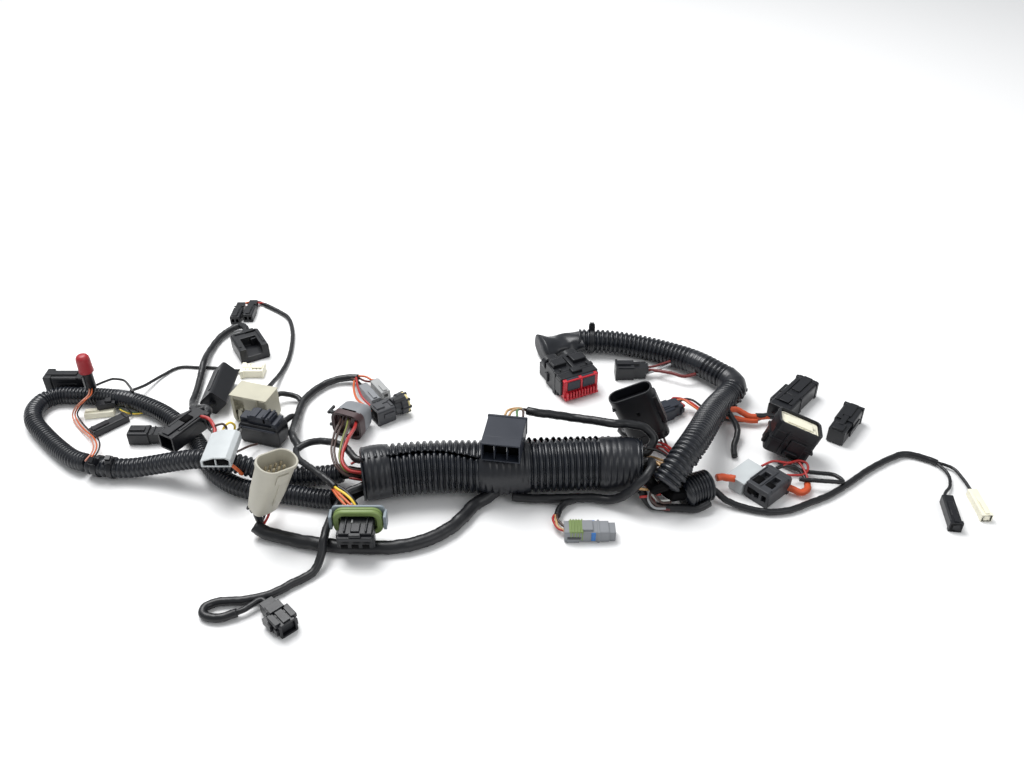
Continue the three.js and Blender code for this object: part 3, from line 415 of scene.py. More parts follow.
TRUNK_RIB = 4.3
SLIT_AT = ([0, 0.1, 0.2, 0.3, 0.42, 0.6, 1], [70, 72, 77, 74, 58, 130, 140])
slit_conduit("trunk_conduit", TRUNK_POINTS, 18.75, 2.2, TRUNK_RIB, 1.0, SLIT_AT, 0.06)
conduit("loop_far_conduit", FAR_POINTS, 6.9, 1.2, 2.9, [(0.54, 0.58), (0.74, 0.8)], 32)
conduit("loop_near_conduit", NEAR_POINTS, 7.2, 1.5, 3.8, (), 32)
conduit("right_conduit", RIGHT_POINTS, 9.85, 1.8, 3.9, [(0.62, 0.67)], 64, math.radians(-12))
conduit("short_conduit", SHORT_POINTS, 11.2, 1.3, 2.6, (), 48)


# Tape on the conduits
def hugging(size, turn, pitch, seed, length):
    """The radius of a wrap of tape that lets the ribs under it show and thins out at its ends."""
    tape = wound(size, turn, 0.012, 0.006, seed)
    under = ribs(0.4, -0.5, pitch)

    def radius(reach, angles):
        slack = np.clip(np.sin(angles * 1.7 + seed * 9 + reach * 0.05) + 0.5, 0.15, 1)
        edge = max(0, 1 - reach / 5, 1 - (length - reach) / 5)
        return tape(reach, angles) + under(reach, angles) * slack - 0.75 * edge
    return radius


WRAP_SIDES = 64
WRAP_STEP = 0.55


def wrap(node, points, low, high, size, turn, seed):
    """A wrap of cloth tape round the trunk, wound in a spiral and creased."""
    route = part_of(points, low, high)
    length = float(along(route, 0.002)[2][-1]) / MM
    tape = hugging(size, turn, TRUNK_RIB, seed, length)
    piece, _ = sweep(node + "_fine", route, tape, CLOTH_TAPE, WRAP_SIDES, WRAP_STEP)
    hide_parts(node)


wrap("trunk_tape_left", TRUNK_POINTS, 0.01, 0.1, 19.3, 15, 0.1)
wrap("trunk_tape_middle", TRUNK_POINTS, 0.42, 0.6, 19.4, 17, 0.5)
wrap("trunk_tape_right", TRUNK_POINTS, 0.85, 0.985, 19.4, 14, 0.8)


BAND_HALF = 1.6
BAND_INSIDE = 0.6
BAND_OUTSIDE = 0.7


def cable_tie(name, points, share, radius, angle, stands_for=None):
    """A cable tie: a thin band round a conduit at a share of its length, and its head, out at an angle."""
    places, tangents, wanted = along(points, 0.0005)
    i = int(share * (len(places) - 1))
    side, over = sides_of(tangents)
    turns = np.linspace(0, 2 * math.pi, 40, endpoint=False)
    low, high = radius - BAND_INSIDE, radius + BAND_OUTSIDE
    ring = [(low, -BAND_HALF), (high, -BAND_HALF), (high, BAND_HALF), (low, BAND_HALF)]
    vertices, faces = [], []
    for turn in turns:
        spoke = math.cos(turn) * side[i] + math.sin(turn) * over[i]
        vertices += [places[i] + (spoke * size + tangents[i] * reach) * MM for size, reach in ring]
    for j in range(len(turns)):
        k = (j + 1) % len(turns)
        faces += [(4 * j + a, 4 * j + (a + 1) % 4, 4 * k + (a + 1) % 4, 4 * k + a) for a in range(4)]
    out = math.cos(angle) * side[i] + math.sin(angle) * over[i]
    across = np.cross(tangents[i], out)
    for low, high, half in ((radius - 0.5, radius + 4.5, 2.6), (radius + 4.5, radius + 6, 1.8)):
        base = len(vertices)
        for reach in (low, high):
            for a, b in ((-1, -1), (1, -1), (1, 1), (-1, 1)):
                vertices.append(places[i] + (out * reach + across * half * a + tangents[i] * half * b) * MM)
        faces += [tuple(base + k for k in face) for face in BOX_FACES]
    piece = add(name, vertices, faces, BLACK)
    piece.data.set_sharp_from_angle(angle=SHARP_ANGLE)
    if stands_for:
        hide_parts(stands_for)


cable_tie("corner_tie", NEAR_POINTS, 0.045, 7.3, math.radians(60), "loop_corner_tape")
cable_tie("corner_tie_second", NEAR_POINTS, 0.1, 7.3, math.radians(75))
cable_tie("sleeve_tie", RIGHT_POINTS, 0.965, 10, math.radians(75))
bend_tape = wound(10.1, 11, 0.02, 0.01, 0.3)
sweep("right_bend_tape", part_of(RIGHT_POINTS, 0.495, 0.555), bend_tape, CLOTH_TAPE, 48, 1)

SLEEVE_POINTS = [(62, 176, 11), (55, 176, 10), (46, 174.5, 9), (33, 169, 9.5), (25, 165.5, 11)]


def torn(reach, angles):
    """The radius of the sleeve: creased, and torn into flaps at its far end."""
    crease = 0.35 * np.sin(3 * angles + reach * 0.3) + 0.25 * np.sin(5 * angles - reach * 0.22)
    flare = 1.2 * max(0, reach - 24) / 15
    return 7.2 + crease + flare * (1 + 0.5 * np.sin(2 * angles))


sleeve, _ = sweep("right_sleeve_fine", SLEEVE_POINTS, torn, CLOTH_TAPE, 40, 1, True, (1.65, 1))
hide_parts("right_sleeve")


# Connectors: their frames, as in the part. x is across, z up, y from the mating end to the wires
def pose(place, *turns):
    """The frame of a connector: turned about the bench axes in the order given, then moved to its place."""
    spin = Matrix.Identity(4)
    for axis, angle in turns:
        spin = Matrix.Rotation(math.radians(angle), 4, axis) @ spin
    return Matrix.Translation(spot(place)) @ spin


FRAMES = {
    "loop_plug": pose((-359, 117.3, 9), ("Z", -90)),
    "ivory_tab_connector": pose((-324, 86.5, 2.5), ("Z", -80)),
    "black_tab_connector": pose((-311, 70.5, 3), ("Z", -44)),
    "left_plug": pose((-276.5, 55, 5.5), ("Z", -90)),
    "pair_socket": pose((-241.5, 42, 21.3), ("Z", -30)),
    "silver_connector": pose((-203, 4, 35.05), ("Z", 0)),
    "ivory_block": pose((-199.5, 84.5, 12.5), ("Z", -17)),
    "sealed_block": pose((-188, 57, 9), ("Z", -17)),
    "box_connector": pose((-234, 109, 10.55), ("Y", 45), ("Z", 180)),
    "ivory_rear_connector": pose((-215.7, 142.7, 3.5), ("Z", 90)),
    "hood_connector": pose((-224.5, 174, 7), ("Z", 30)),
    "twin_connector_left": pose((-248.5, 233, 4)),
    "twin_connector_right": pose((-238, 237, 4)),
    "wedge_connector": pose((-121.3, 69.3, 11), ("Z", 158)),
    "small_gray_connector": pose((-106.5, 115.5, 4), ("Z", 33)),
    "long_gray_connector": pose((-114, 106, 4.5), ("Z", 33)),
    "open_gray_connector": pose((-100.5, 81.2, 7), ("Z", -55)),
    "round_connector": pose((-88.6, 89.6, 8.8), ("Z", 125)),
    "gray_receptacle": pose((-160.3, -38, 38), ("X", -90), ("Z", 47), ("Y", 21)),
    "green_seal_connector": pose((-101.5, -60, 18.9)),
    "sensor_connector": pose((-143.2, -120.5, 5.5), ("Z", 43)),
    "four_way_connector": pose((50, -47, 5), ("Z", 90)),
    "relay_socket": pose((-5.4, 2, 46.45), ("Z", -9)),
    "controller_shell": pose((43.7, 134.2, 10.5), ("Z", 26)),
    "flat_receptacle": pose((95, 51, 28.2), ("X", -90), ("Y", -24)),
    "back_connector": pose((98, 139, 6.5), ("Z", -90)),
    "dark_gray_connector": pose((122, 86, 5.5), ("Z", -60)),
    "long_black_connector": pose((223, 98.5, 7), ("Z", 139)),
    "square_black_connector": pose((205.6, 37.3, 18.9), ("X", -90), ("Z", -12), ("Y", 20)),
    "right_black_connector": pose((255, 66.5, 7), ("Z", 144)),
    "windowed_gray_connector": pose((181, -4.5, 7), ("Z", -48)),
    "banded_connector": pose((166.7, 5.25, 6), ("Z", 132)),
    "tail_gray_connector": pose((302.5, -28.5, 4), ("Z", -8)),
    "tail_ivory_connector": pose((325.7, -19.3, 3)),
}


def at(frame, x, y, z):
    """A place in a connector's frame, as a place in the bench frame in millimetres."""
    return tuple(FRAMES[frame] @ (Vector((x, y, z)) * MM) / MM + PART_ORIGIN)


def outline(width, height, corner, arc=6):
    """A rounded rectangle across a connector, as a list of x and z."""
    points = []
    for turn, x, z in ((0, 1, 1), (1, -1, 1), (2, -1, -1), (3, 1, -1)):
        for step in range(arc + 1):
            angle = (turn + step / arc) * math.pi / 2
            place_x = x * (width / 2 - corner) + corner * math.cos(angle)
            place_z = z * (height / 2 - corner) + corner * math.sin(angle)
            points.append((place_x, place_z))
    return points


def soften(piece, size):
    """Rounded edges."""
    edge = piece.modifiers.new("soften", "BEVEL")
    edge.width = size * MM
    edge.segments = 2
    edge.limit_method = "ANGLE"
    edge.angle_limit = SHARP_ANGLE


def finish(piece, bevel, stands_for):
    """Rounds a piece's edges where asked for, and hides the CAD solid that it stands for."""
    if bevel:
        piece.data.set_sharp_from_angle(angle=SHARP_ANGLE)
        soften(piece, bevel)
    if stands_for:
        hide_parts(stands_for)


def both(size, middle):
    """Two boxes alike, one on each side of a connector's middle."""
    x, y, z = middle
    return [(size, (-x, y, z)), (size, middle)]


def loft(name, frame, material, rings, bevel=0.35, stands_for=None):
    """A skin over rings across a connector, each an outline and its y, closed at both ends."""
    turned = FRAMES[frame]
    vertices = []
    for points, y in rings:
        vertices += [turned @ (Vector((x, y, z)) * MM) for x, z in points]
    size = len(rings[0][0])
    faces = [tuple(range(size))]
    for i in range(len(rings) - 1):
        for j in range(size):
            k = (j + 1) % size
            faces.append((i * size + j, (i + 1) * size + j, (i + 1) * size + k, i * size + k))
    last = (len(rings) - 1) * size
    faces.append(tuple(last + j for j in reversed(range(size))))
    finish(add(name, vertices, faces, material), bevel, stands_for)


def boxes(name, frame, material, shapes, bevel=0.3, stands_for=None):
    """Boxes in a connector's frame, each a size and a middle."""
    vertices, faces = [], []
    for size, middle in shapes:
        base = len(vertices)
        for corner in BOX_CORNERS:
            place = Vector([m + c * s / 2 for m, c, s in zip(middle, corner, size)])
            vertices.append(FRAMES[frame] @ (place * MM))
        faces += [tuple(base + k for k in face) for face in BOX_FACES]
    finish(add(name, vertices, faces, material), bevel, stands_for)


def cup(name, frame, material, width, height, corner, front, back, depth, wall, foot=1.0, **more):
    """A hollow connector body: its rim is at front, its floor depth behind it, its closed end at back."""
    outer = outline(width, height, corner)
    inner = outline(width - 2 * wall, height - 2 * wall, max(0.3, corner - wall))
    low = outline(width * foot, height * foot, corner * foot)
    rings = [(low, back), (outer, front + 1), (outer, front), (inner, front), (inner, front + depth)]
    loft(name, frame, material, rings, **more)


# CAD solids that keep their shape, with rounded edges and their own finish. The wire bundle inside the trunk
# gets the painted cavity shade instead.
NODE_LOOKS = {
    BLACK: [
        "tail_gray_connector", "loop_plug", "black_tab_connector", "left_plug", "pair_socket",
        "box_connector", "hood_connector", "twin_connector_left", "twin_connector_right", "sensor_connector",
        "back_connector", "long_black_connector", "square_black_connector", "right_black_connector",
    ],
    SLATE: ["dark_gray_connector"],
    DARK_GRAY: ["windowed_gray_connector", "open_gray_connector"],
    GRAY: ["long_gray_connector", "four_way_connector"],
    LIGHT_GRAY: ["small_gray_connector"],
    SILVER: ["banded_connector"],
    IVORY: ["ivory_tab_connector", "ivory_rear_connector", "square_insert", "tail_ivory_connector"],
    BEIGE: ["ivory_block"],
    RED: ["controller_face"],
    # Painted shade: the wire bundle inside the slit trunk is painted near-black.
    CAVITY_SHADE: ["trunk_wire_bundle"],
}


CAD_BEVEL = 0.35
WELD_REACH = 0.00002


def dress(name, material):
    """A CAD node keeps its shape, with welded vertices, softened edges and its own finish."""
    node = nodes[name]
    node.data.materials.clear()
    node.data.materials.append(material)
    weld = node.modifiers.new("weld", "WELD")
    weld.merge_threshold = WELD_REACH
    soften(node, CAD_BEVEL)


for look, names in NODE_LOOKS.items():
    for node_name in names:
        dress(node_name, look)


# The capped tube and its cap
POST = (-333, 102.5)
FRAMES["post"] = pose((*POST, 0), ("X", -90))
post_side = outline(7.6, 7.6, 3.7)
loft("capped_tube_fine", "post", BLACK, [(post_side, -15), (post_side, -36)], 0.4, "capped_tube")
cap_rings = [(1.02, 31), (1.05, 32), (1, 34), (0.98, 42), (0.92, 44), (0.74, 45.7), (0.45, 46.4), (0.2, 46.6)]
cap_outline = [(outline(10.8 * k, 10.8 * k, 5.35 * k), -z) for k, z in cap_rings]
loft("red_cap_fine", "post", CAP_RED, cap_outline, 0, "red_cap")

# Connectors of the loop
boxes("loop_plug_ridges", "loop_plug", BLACK, [
    ((13.4, 6, 18.6), (0, -12.6, 0.4)), ((13, 5, 18.4), (0, 13, 0.3)), ((1, 16, 2), (6.2, 3, 3)),
    ((4, 20, 1.4), (0, 0, 9.4)),
])
boxes("tab_ridges", "black_tab_connector", BLACK, [((7, 1, 1), (0, 12, 3.4)), ((7, 1, 1), (0, -12, 3.4))])
# Painted shade: dark plates in the two pits on top of the tab connector.
boxes("tab_pits", "black_tab_connector", CAVITY_SHADE, [
    ((1.6, 1.6, 0.3), (0, -5, 3.9)), ((1.6, 1.6, 0.3), (0, -9, 3.9)),
], 0)
FRAMES["clip"] = pose((-319, 90.5, 8), ("Z", -75))
boxes("conduit_clip", "clip", BLACK, [((7, 14, 5), (0, 0, 0)), ((5, 5, 7), (0, 2, 1))])
boxes("plug_ridges", "left_plug", BLACK, [((10, 1.2, 1), (0, 2, 5.4)), ((10, 1.2, 1), (0, 6, 4.6))])
boxes("pair_ridges", "pair_socket", BLACK, [
    *both((2, 22, 1), (5, 2, 7.2)), ((1, 16, 6), (-7.6, 2, 0)),
])
# Painted shade: dark plates in the side slot and the top opening of the pair socket.
boxes("pair_slot", "pair_socket", CAVITY_SHADE, [((0.4, 9, 2), (-7.6, 6, 0)), ((6, 8, 0.4), (0, 4, 7.7))], 0)
roof = [(-10.5, -4.2), (10.5, -4.2), (10.5, 2), (7.5, 4.4), (-1.5, 4.4), (-10.5, 1)]
hollow = [(x * 0.86 + 0.1, z * 0.72) for x, z in roof]
loft("silver_fine", "silver_connector", SILVER, [
    (roof[::-1], 15.5), (roof[::-1], -15.5), (hollow[::-1], -15.5), (hollow[::-1], -6),
], 0.4, "silver_connector")
# Painted shade: dark plates in the two cavities at the silver connector's mating end.
boxes("silver_cavities", "silver_connector", CAVITY_SHADE, [*both((7, 0.5, 4.6), (4.6, -14.6, -0.4))], 0)
boxes("silver_divider", "silver_connector", SILVER, [((0.8, 3, 5.4), (0, -14.4, 0))])

# Connectors behind the loop
boxes("ivory_panels", "ivory_block", BEIGE, [
    ((1.2, 1, 23), (-13, -9.8, 0)), ((12, 0.9, 24), (2, -9.7, 0)), ((5, 0.9, 24), (12.6, -9.7, 0)),
    ((31.6, 19.6, 1), (0, 0, 12.2)), ((3.4, 1, 9), (-8.5, -9.4, -5)),
])
boxes("ivory_shadows", "ivory_block", CAVITY_SHADE, [
    ((0.5, 0.3, 9), (-11.5, -9.7, -6)), ((0.5, 0.3, 9), (-5.6, -9.7, -6)),
    ((6, 0.3, 0.6), (-8.6, -9.7, -1.2)),
], 0)
sealed = outline(34, 18, 4.5)
loft("sealed_fine", "sealed_block", BLACK, [(sealed, 7.5), (sealed, -7.5)], 0.8, "sealed_block")
boxes("sealed_top", "sealed_block", SLATE, [
    ((20, 11, 8), (1, 0, 11.5)), ((8, 9, 5), (-12, 0, 10)), ((29, 2, 2), (0, -7.6, 6)),
    ((2, 11, 3.4), (5, 0, 15.5)), ((2, 11, 3.4), (9, 0, 15.5)), ((5, 11, 1.6), (-4, 0, 15.6)),
    ((4, 13, 7), (13, 0, 9)),
], 0.5)
# Painted shade: dark plates in the slots of the sealed block's cover.
boxes("sealed_slots", "sealed_block", CAVITY_SHADE, [
    ((1.4, 0.4, 3.4), (5, -5.7, 13)), ((1, 4, 0.4), (3.4, -3, 15.6)),
], 0)
boxes("box_ridges", "box_connector", BLACK, [((3, 26, 1), (-4, 2, 8.1)), ((1, 26, 3), (8.1, 2, -3))])
# Painted shade: dark dots in the pin holes on top of the ivory rear connector.
boxes("ivory_rear_pin_hole_shade", "ivory_rear_connector", CAVITY_SHADE, [
    ((0.7, 0.7, 0.3), (x, y, 3.6)) for x in (-3, 3) for y in (-7, -4, -1, 2, 5)
], 0)
boxes("ivory_rear_rows", "ivory_rear_connector", IVORY, [
    ((1, 17, 1), (0, 0, 3.6)), ((12.6, 2, 7.4), (0, -8.6, 0.1)),
])
boxes("hood_ridges", "hood_connector", BLACK, [
    ((9, 7, 6), (4, 13, 4)), *both((2, 20, 1.2), (10, 1, 7.2)), ((6, 3, 9), (5, 3, 1)),
    ((20, 2, 2), (0, 12, 7)),
])
for side in ("left", "right"):
    boxes("twin_ridges_" + side, "twin_connector_" + side, BLACK, [
        ((5, 12, 0.8), (0, 0, 4.1)), ((9.2, 1, 1), (0, 5, 3.9)),
    ])

# Connectors behind the left mouth of the trunk
wedge = outline(24, 22, 6)
loft("wedge_fine", "wedge_connector", GRAY, [
    (outline(20, 15, 4), -10), (outline(23, 20, 6), -6), (wedge, 2), (wedge, 6),
], 0.5, "wedge_connector")
wedge_edge = outline(24.6, 22, 6.4)
loft("wedge_band", "wedge_connector", BROWN_BLACK, [(wedge_edge, 6.2), (wedge_edge, 4)], 0.3)
cup("wedge_rim", "wedge_connector", BROWN_BLACK, 25, 22, 6.5, 11, 5, -4.6, 2.2)
boxes("wedge_prongs", "wedge_connector", BLACK, [
    ((5, 2.4, 2.4), (14, 7.6, 7)), ((5, 2.4, 2.4), (14, 3.6, 1)), ((2, 9, 2), (16, 5, 7)),
    ((2, 5, 6), (12.6, 5, 3)), ((4, 2, 2), (14, 9, -4)),
])
FRAMES["plug"] = pose((-124.5, 60.5, 6), ("Z", 158))
loft("wedge_plug", "plug", WIRES["white"], [
    (outline(k, k, k / 2.05), y) for k, y in ((3.6, -2), (3.9, 2), (3.2, 3), (1.5, 3.5))
], 0)
# Painted shade: a dark plate across the inside of the open gray connector.
loft("open_gray_inside", "open_gray_connector", CAVITY_SHADE, [
    (outline(10.8, 10.8, 0.5), -7.2), (outline(10.8, 10.8, 0.5), -6.9),
], 0)
boxes("open_gray_ridges", "open_gray_connector", DARK_GRAY, [
    ((3, 8, 1), (-3, 3, 7.2)), ((8, 2, 1.4), (1, 6, 7)), ((1.2, 9, 4), (7.2, 2, 1)),
])
rib = outline(17, 17, 8.3, 10)
loft("round_fine", "round_connector", DARK_GRAY, [
    (outline(14, 14, 6.8, 10), 6.5), (outline(14, 14, 6.8, 10), 1), (rib, 1), (rib, -4.2),
], 0.4, "round_connector")
loft("yellow_ring", "round_connector", YELLOW, [
    (outline(15, 15, 7.3, 10), -4), (outline(16.4, 16.4, 8, 10), -4.8), (outline(15.6, 15.6, 7.6, 10), -6),
    (outline(10, 10, 4.8, 10), -6.2),
], 0)
boxes("round_teeth", "round_connector", BLACK, [
    ((2, 4, 2), (7.6 * math.cos(a), -5, 7.6 * math.sin(a))) for a in np.arange(8) * 0.785
])
boxes("round_ribs", "round_connector", BLACK, [
    ((1.6, 6, 17.4), (0, -1, 0)), ((18, 6, 1.6), (0, -1, 0)), ((4, 9, 3), (-4, 2, 8)),
])
boxes("gray_ends", "long_gray_connector", BLACK, [((7, 3, 7.6), (0, 12, 0))])
boxes("small_gray_end", "small_gray_connector", BLACK, [((6.4, 3, 6.4), (0, 10, 0))])

# Connectors in front
loft("receptacle_fine", "gray_receptacle", STONE, [
    (outline(15, 11, 4), 23), (outline(20, 14, 5.5), 19), (outline(24.5, 16.4, 7), 4),
    (outline(27.4, 17.2, 7.8), -19.5), (outline(29.6, 19, 8.8), -20), (outline(29.6, 19, 8.8), -23),
    (outline(27, 16.4, 7.6), -23), (outline(25.4, 14.8, 6.8), -10),
], 0.35, "gray_receptacle")
boxes("receptacle_pins", "gray_receptacle", PIN, [
    ((1.3, 7, 1.3), (x, -12, z)) for z in (-3.6, 0.2, 4) for x in (-8.4, -4.2, 0, 4.2, 8.4)
], 0)
# Painted shadows: dark patches on the receptacle's floor between its pins.
boxes("receptacle_floor_shadows", "gray_receptacle", CAVITY_SHADE, [
    ((2, 0.3, 1.2), (x, -10.2, z)) for z in (-1.8, 2) for x in (-6.3, -2.1, 2.1, 6.3)
], 0)
boxes("receptacle_latch", "gray_receptacle", BLACK, [
    ((2, 3, 1.6), (-8.5, 21, 4)), ((3, 1.4, 3), (-6, 23.4, 2)),
])
boxes("receptacle_ribs", "gray_receptacle", STONE, [((1, 30, 1), (0, -4, -8.5)), ((9, 8, 1), (0, -14, -9.1))])
loft("green_flange", "green_seal_connector", BLUE_GRAY, [
    (outline(35, 20, 3), 13.4), (outline(35, 20, 3), 11.6),
], 0.4)
lip = outline(33, 20.4, 7)
groove = outline(31.6, 19, 6.4)
hole = outline(25, 13, 3.5)
ring = [
    (outline(32, 19.4, 6.5), 11.4), (lip, 10.4), (lip, 9.2), (groove, 8.6), (lip, 8), (lip, 6.8),
    (groove, 5.8), (hole, 5.8), (hole, 8.5),
]
loft("green_seal_fine", "green_seal_connector", GREEN, ring, 0.25, "green_seal")
boxes("green_latches", "green_seal_connector", BLUE_GRAY, [*both((2, 8, 11), (18, 9, 1))])
boxes("green_body", "green_seal_connector", BLACK, [
    ((22, 17, 13), (0, 0.4, -2)), *both((1.4, 14, 1.6), (7, 0, 5)), ((6, 8, 2), (0, -3, 4.6)),
    ((25, 5, 11), (0, -5, -3)), ((23, 3, 3), (0, -9, 1)), ((8, 3, 2), (0, -9, 4)),
], 0.5, "green_seal_connector")
boxes("green_mark", "green_seal_connector", LIGHT_GRAY, [((1, 3, 0.3), (-3, 3.4, 4.8))], 0)
# Painted shade: dark plates in the three pits of the green seal connector's body.
boxes("green_pits", "green_seal_connector", CAVITY_SHADE, [
    ((4.6, 0.4, 3.4), (x, -10.6, -4.5)) for x in (-7, 0, 7)
], 0)
boxes("sensor_ridges", "sensor_connector", BLACK, [
    ((14, 3, 11.2), (0, -4, 0.2)), ((10, 7, 3), (0, 2, 6)), *both((4, 10, 3), (5.6, -6, 5)),
    ((15, 4, 5), (0, -9, -1)),
])
boxes("four_way_front", "four_way_connector", GRAY, [
    ((10, 9, 7.6), (0, -15, -0.4)), ((12.6, 1.6, 9.6), (0, -8, 0)), ((12.8, 8, 3), (0, 9, -3)),
])
boxes("four_way_dark", "four_way_connector", DARK_GRAY, [
    ((12.8, 9, 2), (0, 8.5, -0.6)), ((8, 10, 1), (0, -14, -4.6)),
])
boxes("four_way_lock", "four_way_connector", BLUE, [((12.9, 3, 7), (0, -4.4, 0.6))])
boxes("four_way_seal", "four_way_connector", GREEN, [
    *(((12.4, 0.9, 8.2), (0, y, 1.4)) for y in (3, 4.9, 6.8, 8.7, 10.6)), ((11.6, 9.5, 7.4), (0, 7, 1.2)),
], 0.25)

# Connectors on and right of the trunk
boxes("relay_fine", "relay_socket", SLATE, [
    ((27, 24, 15), (0, 3.6, -1)), ((27, 9, 1.1), (0, -12, 5.9)), ((27, 9, 1.1), (0, -12, -8)),
    *both((1.1, 9, 15), (13, -12, -1)), *both((0.9, 8, 14), (4.4, -11.6, -1)), ((28, 2, 14), (0, 15, 0)),
], 0.45, "relay_socket")
# Painted shade: a dark plate on the floor of the relay socket's mouth.
boxes("relay_floor", "relay_socket", CAVITY_SHADE, [((25, 0.4, 13), (0, -8.6, -1))], 0)
# Painted highlights: thin light strips on the front edges of the relay socket's two dividers.
boxes("relay_divider_highlights", "relay_socket", LIGHT_GRAY, [((0.3, 0.3, 3.4), (x, -16, 2.8)) for x in (-4.4, 4.4)], 0)
boxes("controller_fine", "controller_shell", BLACK, [
    ((33, 20, 20), (0, -7, 0)), ((30, 14, 12), (0, 10, -4)), ((35, 4, 20.8), (0, -12.6, 0)),
    *both((12, 9, 4), (9, -3, 11)), ((26, 3, 5), (0, 4, 9)), ((3, 18, 2.4), (0, -6, 10.6)),
    *both((1.4, 3, 22), (12, -12.6, 0.9)), ((36, 4, 8), (0, 0, -2)), ((34, 8, 4.4), (0, -19, 7.6)),
    *both((2.4, 10, 13), (16, -19, 1)), ((9, 6, 3), (0, -17, 10.6)),
], 0.6, "controller_shell")
for x in (-9, 9):
    loop = outline(15, 11, 5)
    name = "controller_loop_left" if x < 0 else "controller_loop_right"
    loft(name, "controller_shell", BLACK, [([(a + x, b + 5) for a, b in loop], y) for y in (12, 6)], 0.8)
boxes("face_teeth", "controller_shell", RED, [
    *(((1.6, 4, 7), (x * 2.6, -27.6, -4.6)) for x in range(-5, 6)), ((30, 5, 2), (0, -26.5, -7.6)),
])
boxes("face_frame", "controller_shell", RED, [
    ((30, 8, 1.6), (0, -22.4, 8)), *both((2, 8, 16), (14.4, -22.4, 0.6)), ((1.6, 3, 9), (0, -26, 3.4)),
])
boxes("face_windows", "controller_shell", SLATE, [
    *both((11, 1.4, 8), (6.8, -26.6, 3.6)), *both((11, 6, 0.6), (6.8, -22.4, 8.8)),
], 0.2)
cup("flat_fine", "flat_receptacle", BLACK, 33, 15, 6.8, -23, 23, 25, 1.3, 0.92, stands_for="flat_receptacle")
# Painted shade: a dark plate on the floor of the flat receptacle's mouth.
boxes("flat_floor", "flat_receptacle", CAVITY_SHADE, [((27, 0.5, 10), (0, 1.4, 0))], 0)
boxes("flat_ridges", "flat_receptacle", BLACK, [
    ((33.4, 1.2, 12), (0, -15, 0)), ((3, 26, 11), (15.6, -2, 0)), ((28, 3, 13), (0, 20.5, 0)),
    ((24, 2, 14.6), (0, 16, 0)),
], 0.5)
# A small dark patch on the flat receptacle's face, in the same near-black as the painted cavity shade.
boxes("flat_mark", "flat_receptacle", CAVITY_SHADE, [((2, 3, 0.3), (0, -6, -7.5))], 0)
boxes("back_ridges", "back_connector", BLACK, [
    ((13, 2, 13), (0, -11.6, 0.2)), ((2, 14, 1), (0, 0, 6.7)), ((8, 5, 5), (0, 12, 2)),
])
boxes("dark_ridges", "dark_gray_connector", SLATE, [
    ((15, 2, 11.2), (0, -10.2, 0.2)), ((9, 14, 1), (0, 0, 5.6)), ((4, 3, 4), (5, 10, 0)),
])
boxes("long_ridges", "long_black_connector", BLACK, [
    ((19, 3, 14.2), (0, -22, 0.2)), ((19, 3, 14.2), (0, 4, 0.2)), *both((3, 36, 1.4), (6, 0, 7.2)),
    ((5, 12, 5), (11, 6, -2)), ((8, 8, 2), (0, 14, 7.6)),
])
boxes("square_filling", "square_black_connector", IVORY, [
    ((28.4, 2, 15.4), (0, -11, 0)), ((20, 1, 9), (0, -12.4, 0)),
])
boxes("square_ridges", "square_black_connector", BLACK, [
    ((34.4, 2, 21), (0, 2, 0)), ((12, 14, 1.4), (4, 4, -10.4)), ((1.4, 20, 1.4), (-6, 2, -10.4)),
    ((6, 10, 3), (-16, 6, -4)), ((10, 5, 4), (2, 9, -11)),
])
# Painted shade: dark plates in two slots of the square black connector.
boxes("square_slots", "square_black_connector", CAVITY_SHADE, [
    ((8, 3, 0.4), (4, 9, -13.1)), ((3, 8, 0.4), (-1, 2, -10.3)),
], 0)
loft("square_rim", "square_black_connector", BLACK, [
    (outline(33.8, 20.8, 4), -6), (outline(33.8, 20.8, 4), -14), (outline(31, 18, 3), -14),
    (outline(31, 18, 3), -7),
], 0.4)
boxes("right_ridges", "right_black_connector", BLACK, [
    ((16, 3, 14.2), (0, -17.4, 0.2)), ((4, 24, 1.4), (0, 0, 7.3)), ((1.2, 20, 5), (-7.8, 0, 0)),
    ((8, 9, 3), (0, 14, 6)),
])
# Painted shade: a dark plate inside the mouth of the right black connector.
boxes("right_inside", "right_black_connector", CAVITY_SHADE, [((12.4, 0.4, 11.4), (0, -19, 0))], 0)
boxes("window_frames", "windowed_gray_connector", DARK_GRAY, [
    ((20.6, 3, 14.2), (0, 11, 0.2)), ((1.2, 22, 1), (0, 0, 7.2)), *both((1, 20, 1), (9, 0, 7.2)),
])
# Painted shade: dark plates in the window slots of the windowed gray connector.
boxes("window_slots", "windowed_gray_connector", CAVITY_SHADE, [
    ((6, 8, 0.4), (-4.6, -6, 7)), ((6, 5, 0.4), (4.6, -5, 7)), ((6, 0.4, 4), (-4.6, -13.6, 1)),
], 0)
boxes("banded_slab", "banded_connector", SILVER, [((15, 25, 1.4), (0, 0, 6.2)), ((12, 3, 10), (0, -11, 0))])
half_turn = np.linspace(math.pi, 2 * math.pi, 12)
band = [(math.cos(a) * 11, math.sin(a) * 5 - 0.8) for a in half_turn]
band += [(math.cos(a) * 9.8, math.sin(a) * 4 - 0.8) for a in half_turn[::-1]]
loft("banded_band", "banded_connector", WIRES["white"], [(band, y) for y in (-9, -5)], 0)
boxes("tail_ridges", "tail_gray_connector", BLACK, [
    ((9, 3, 8.2), (0, -13, 0.2)), ((4, 14, 1), (0, 0, 4.2)), ((6, 4, 6), (0, 13.6, 0)),
])
boxes("tail_ivory_ridges", "tail_ivory_connector", IVORY, [
    ((8, 3, 6.2), (0, -12, 0.2)), ((3, 14, 0.8), (0, 0, 3.2)),
])


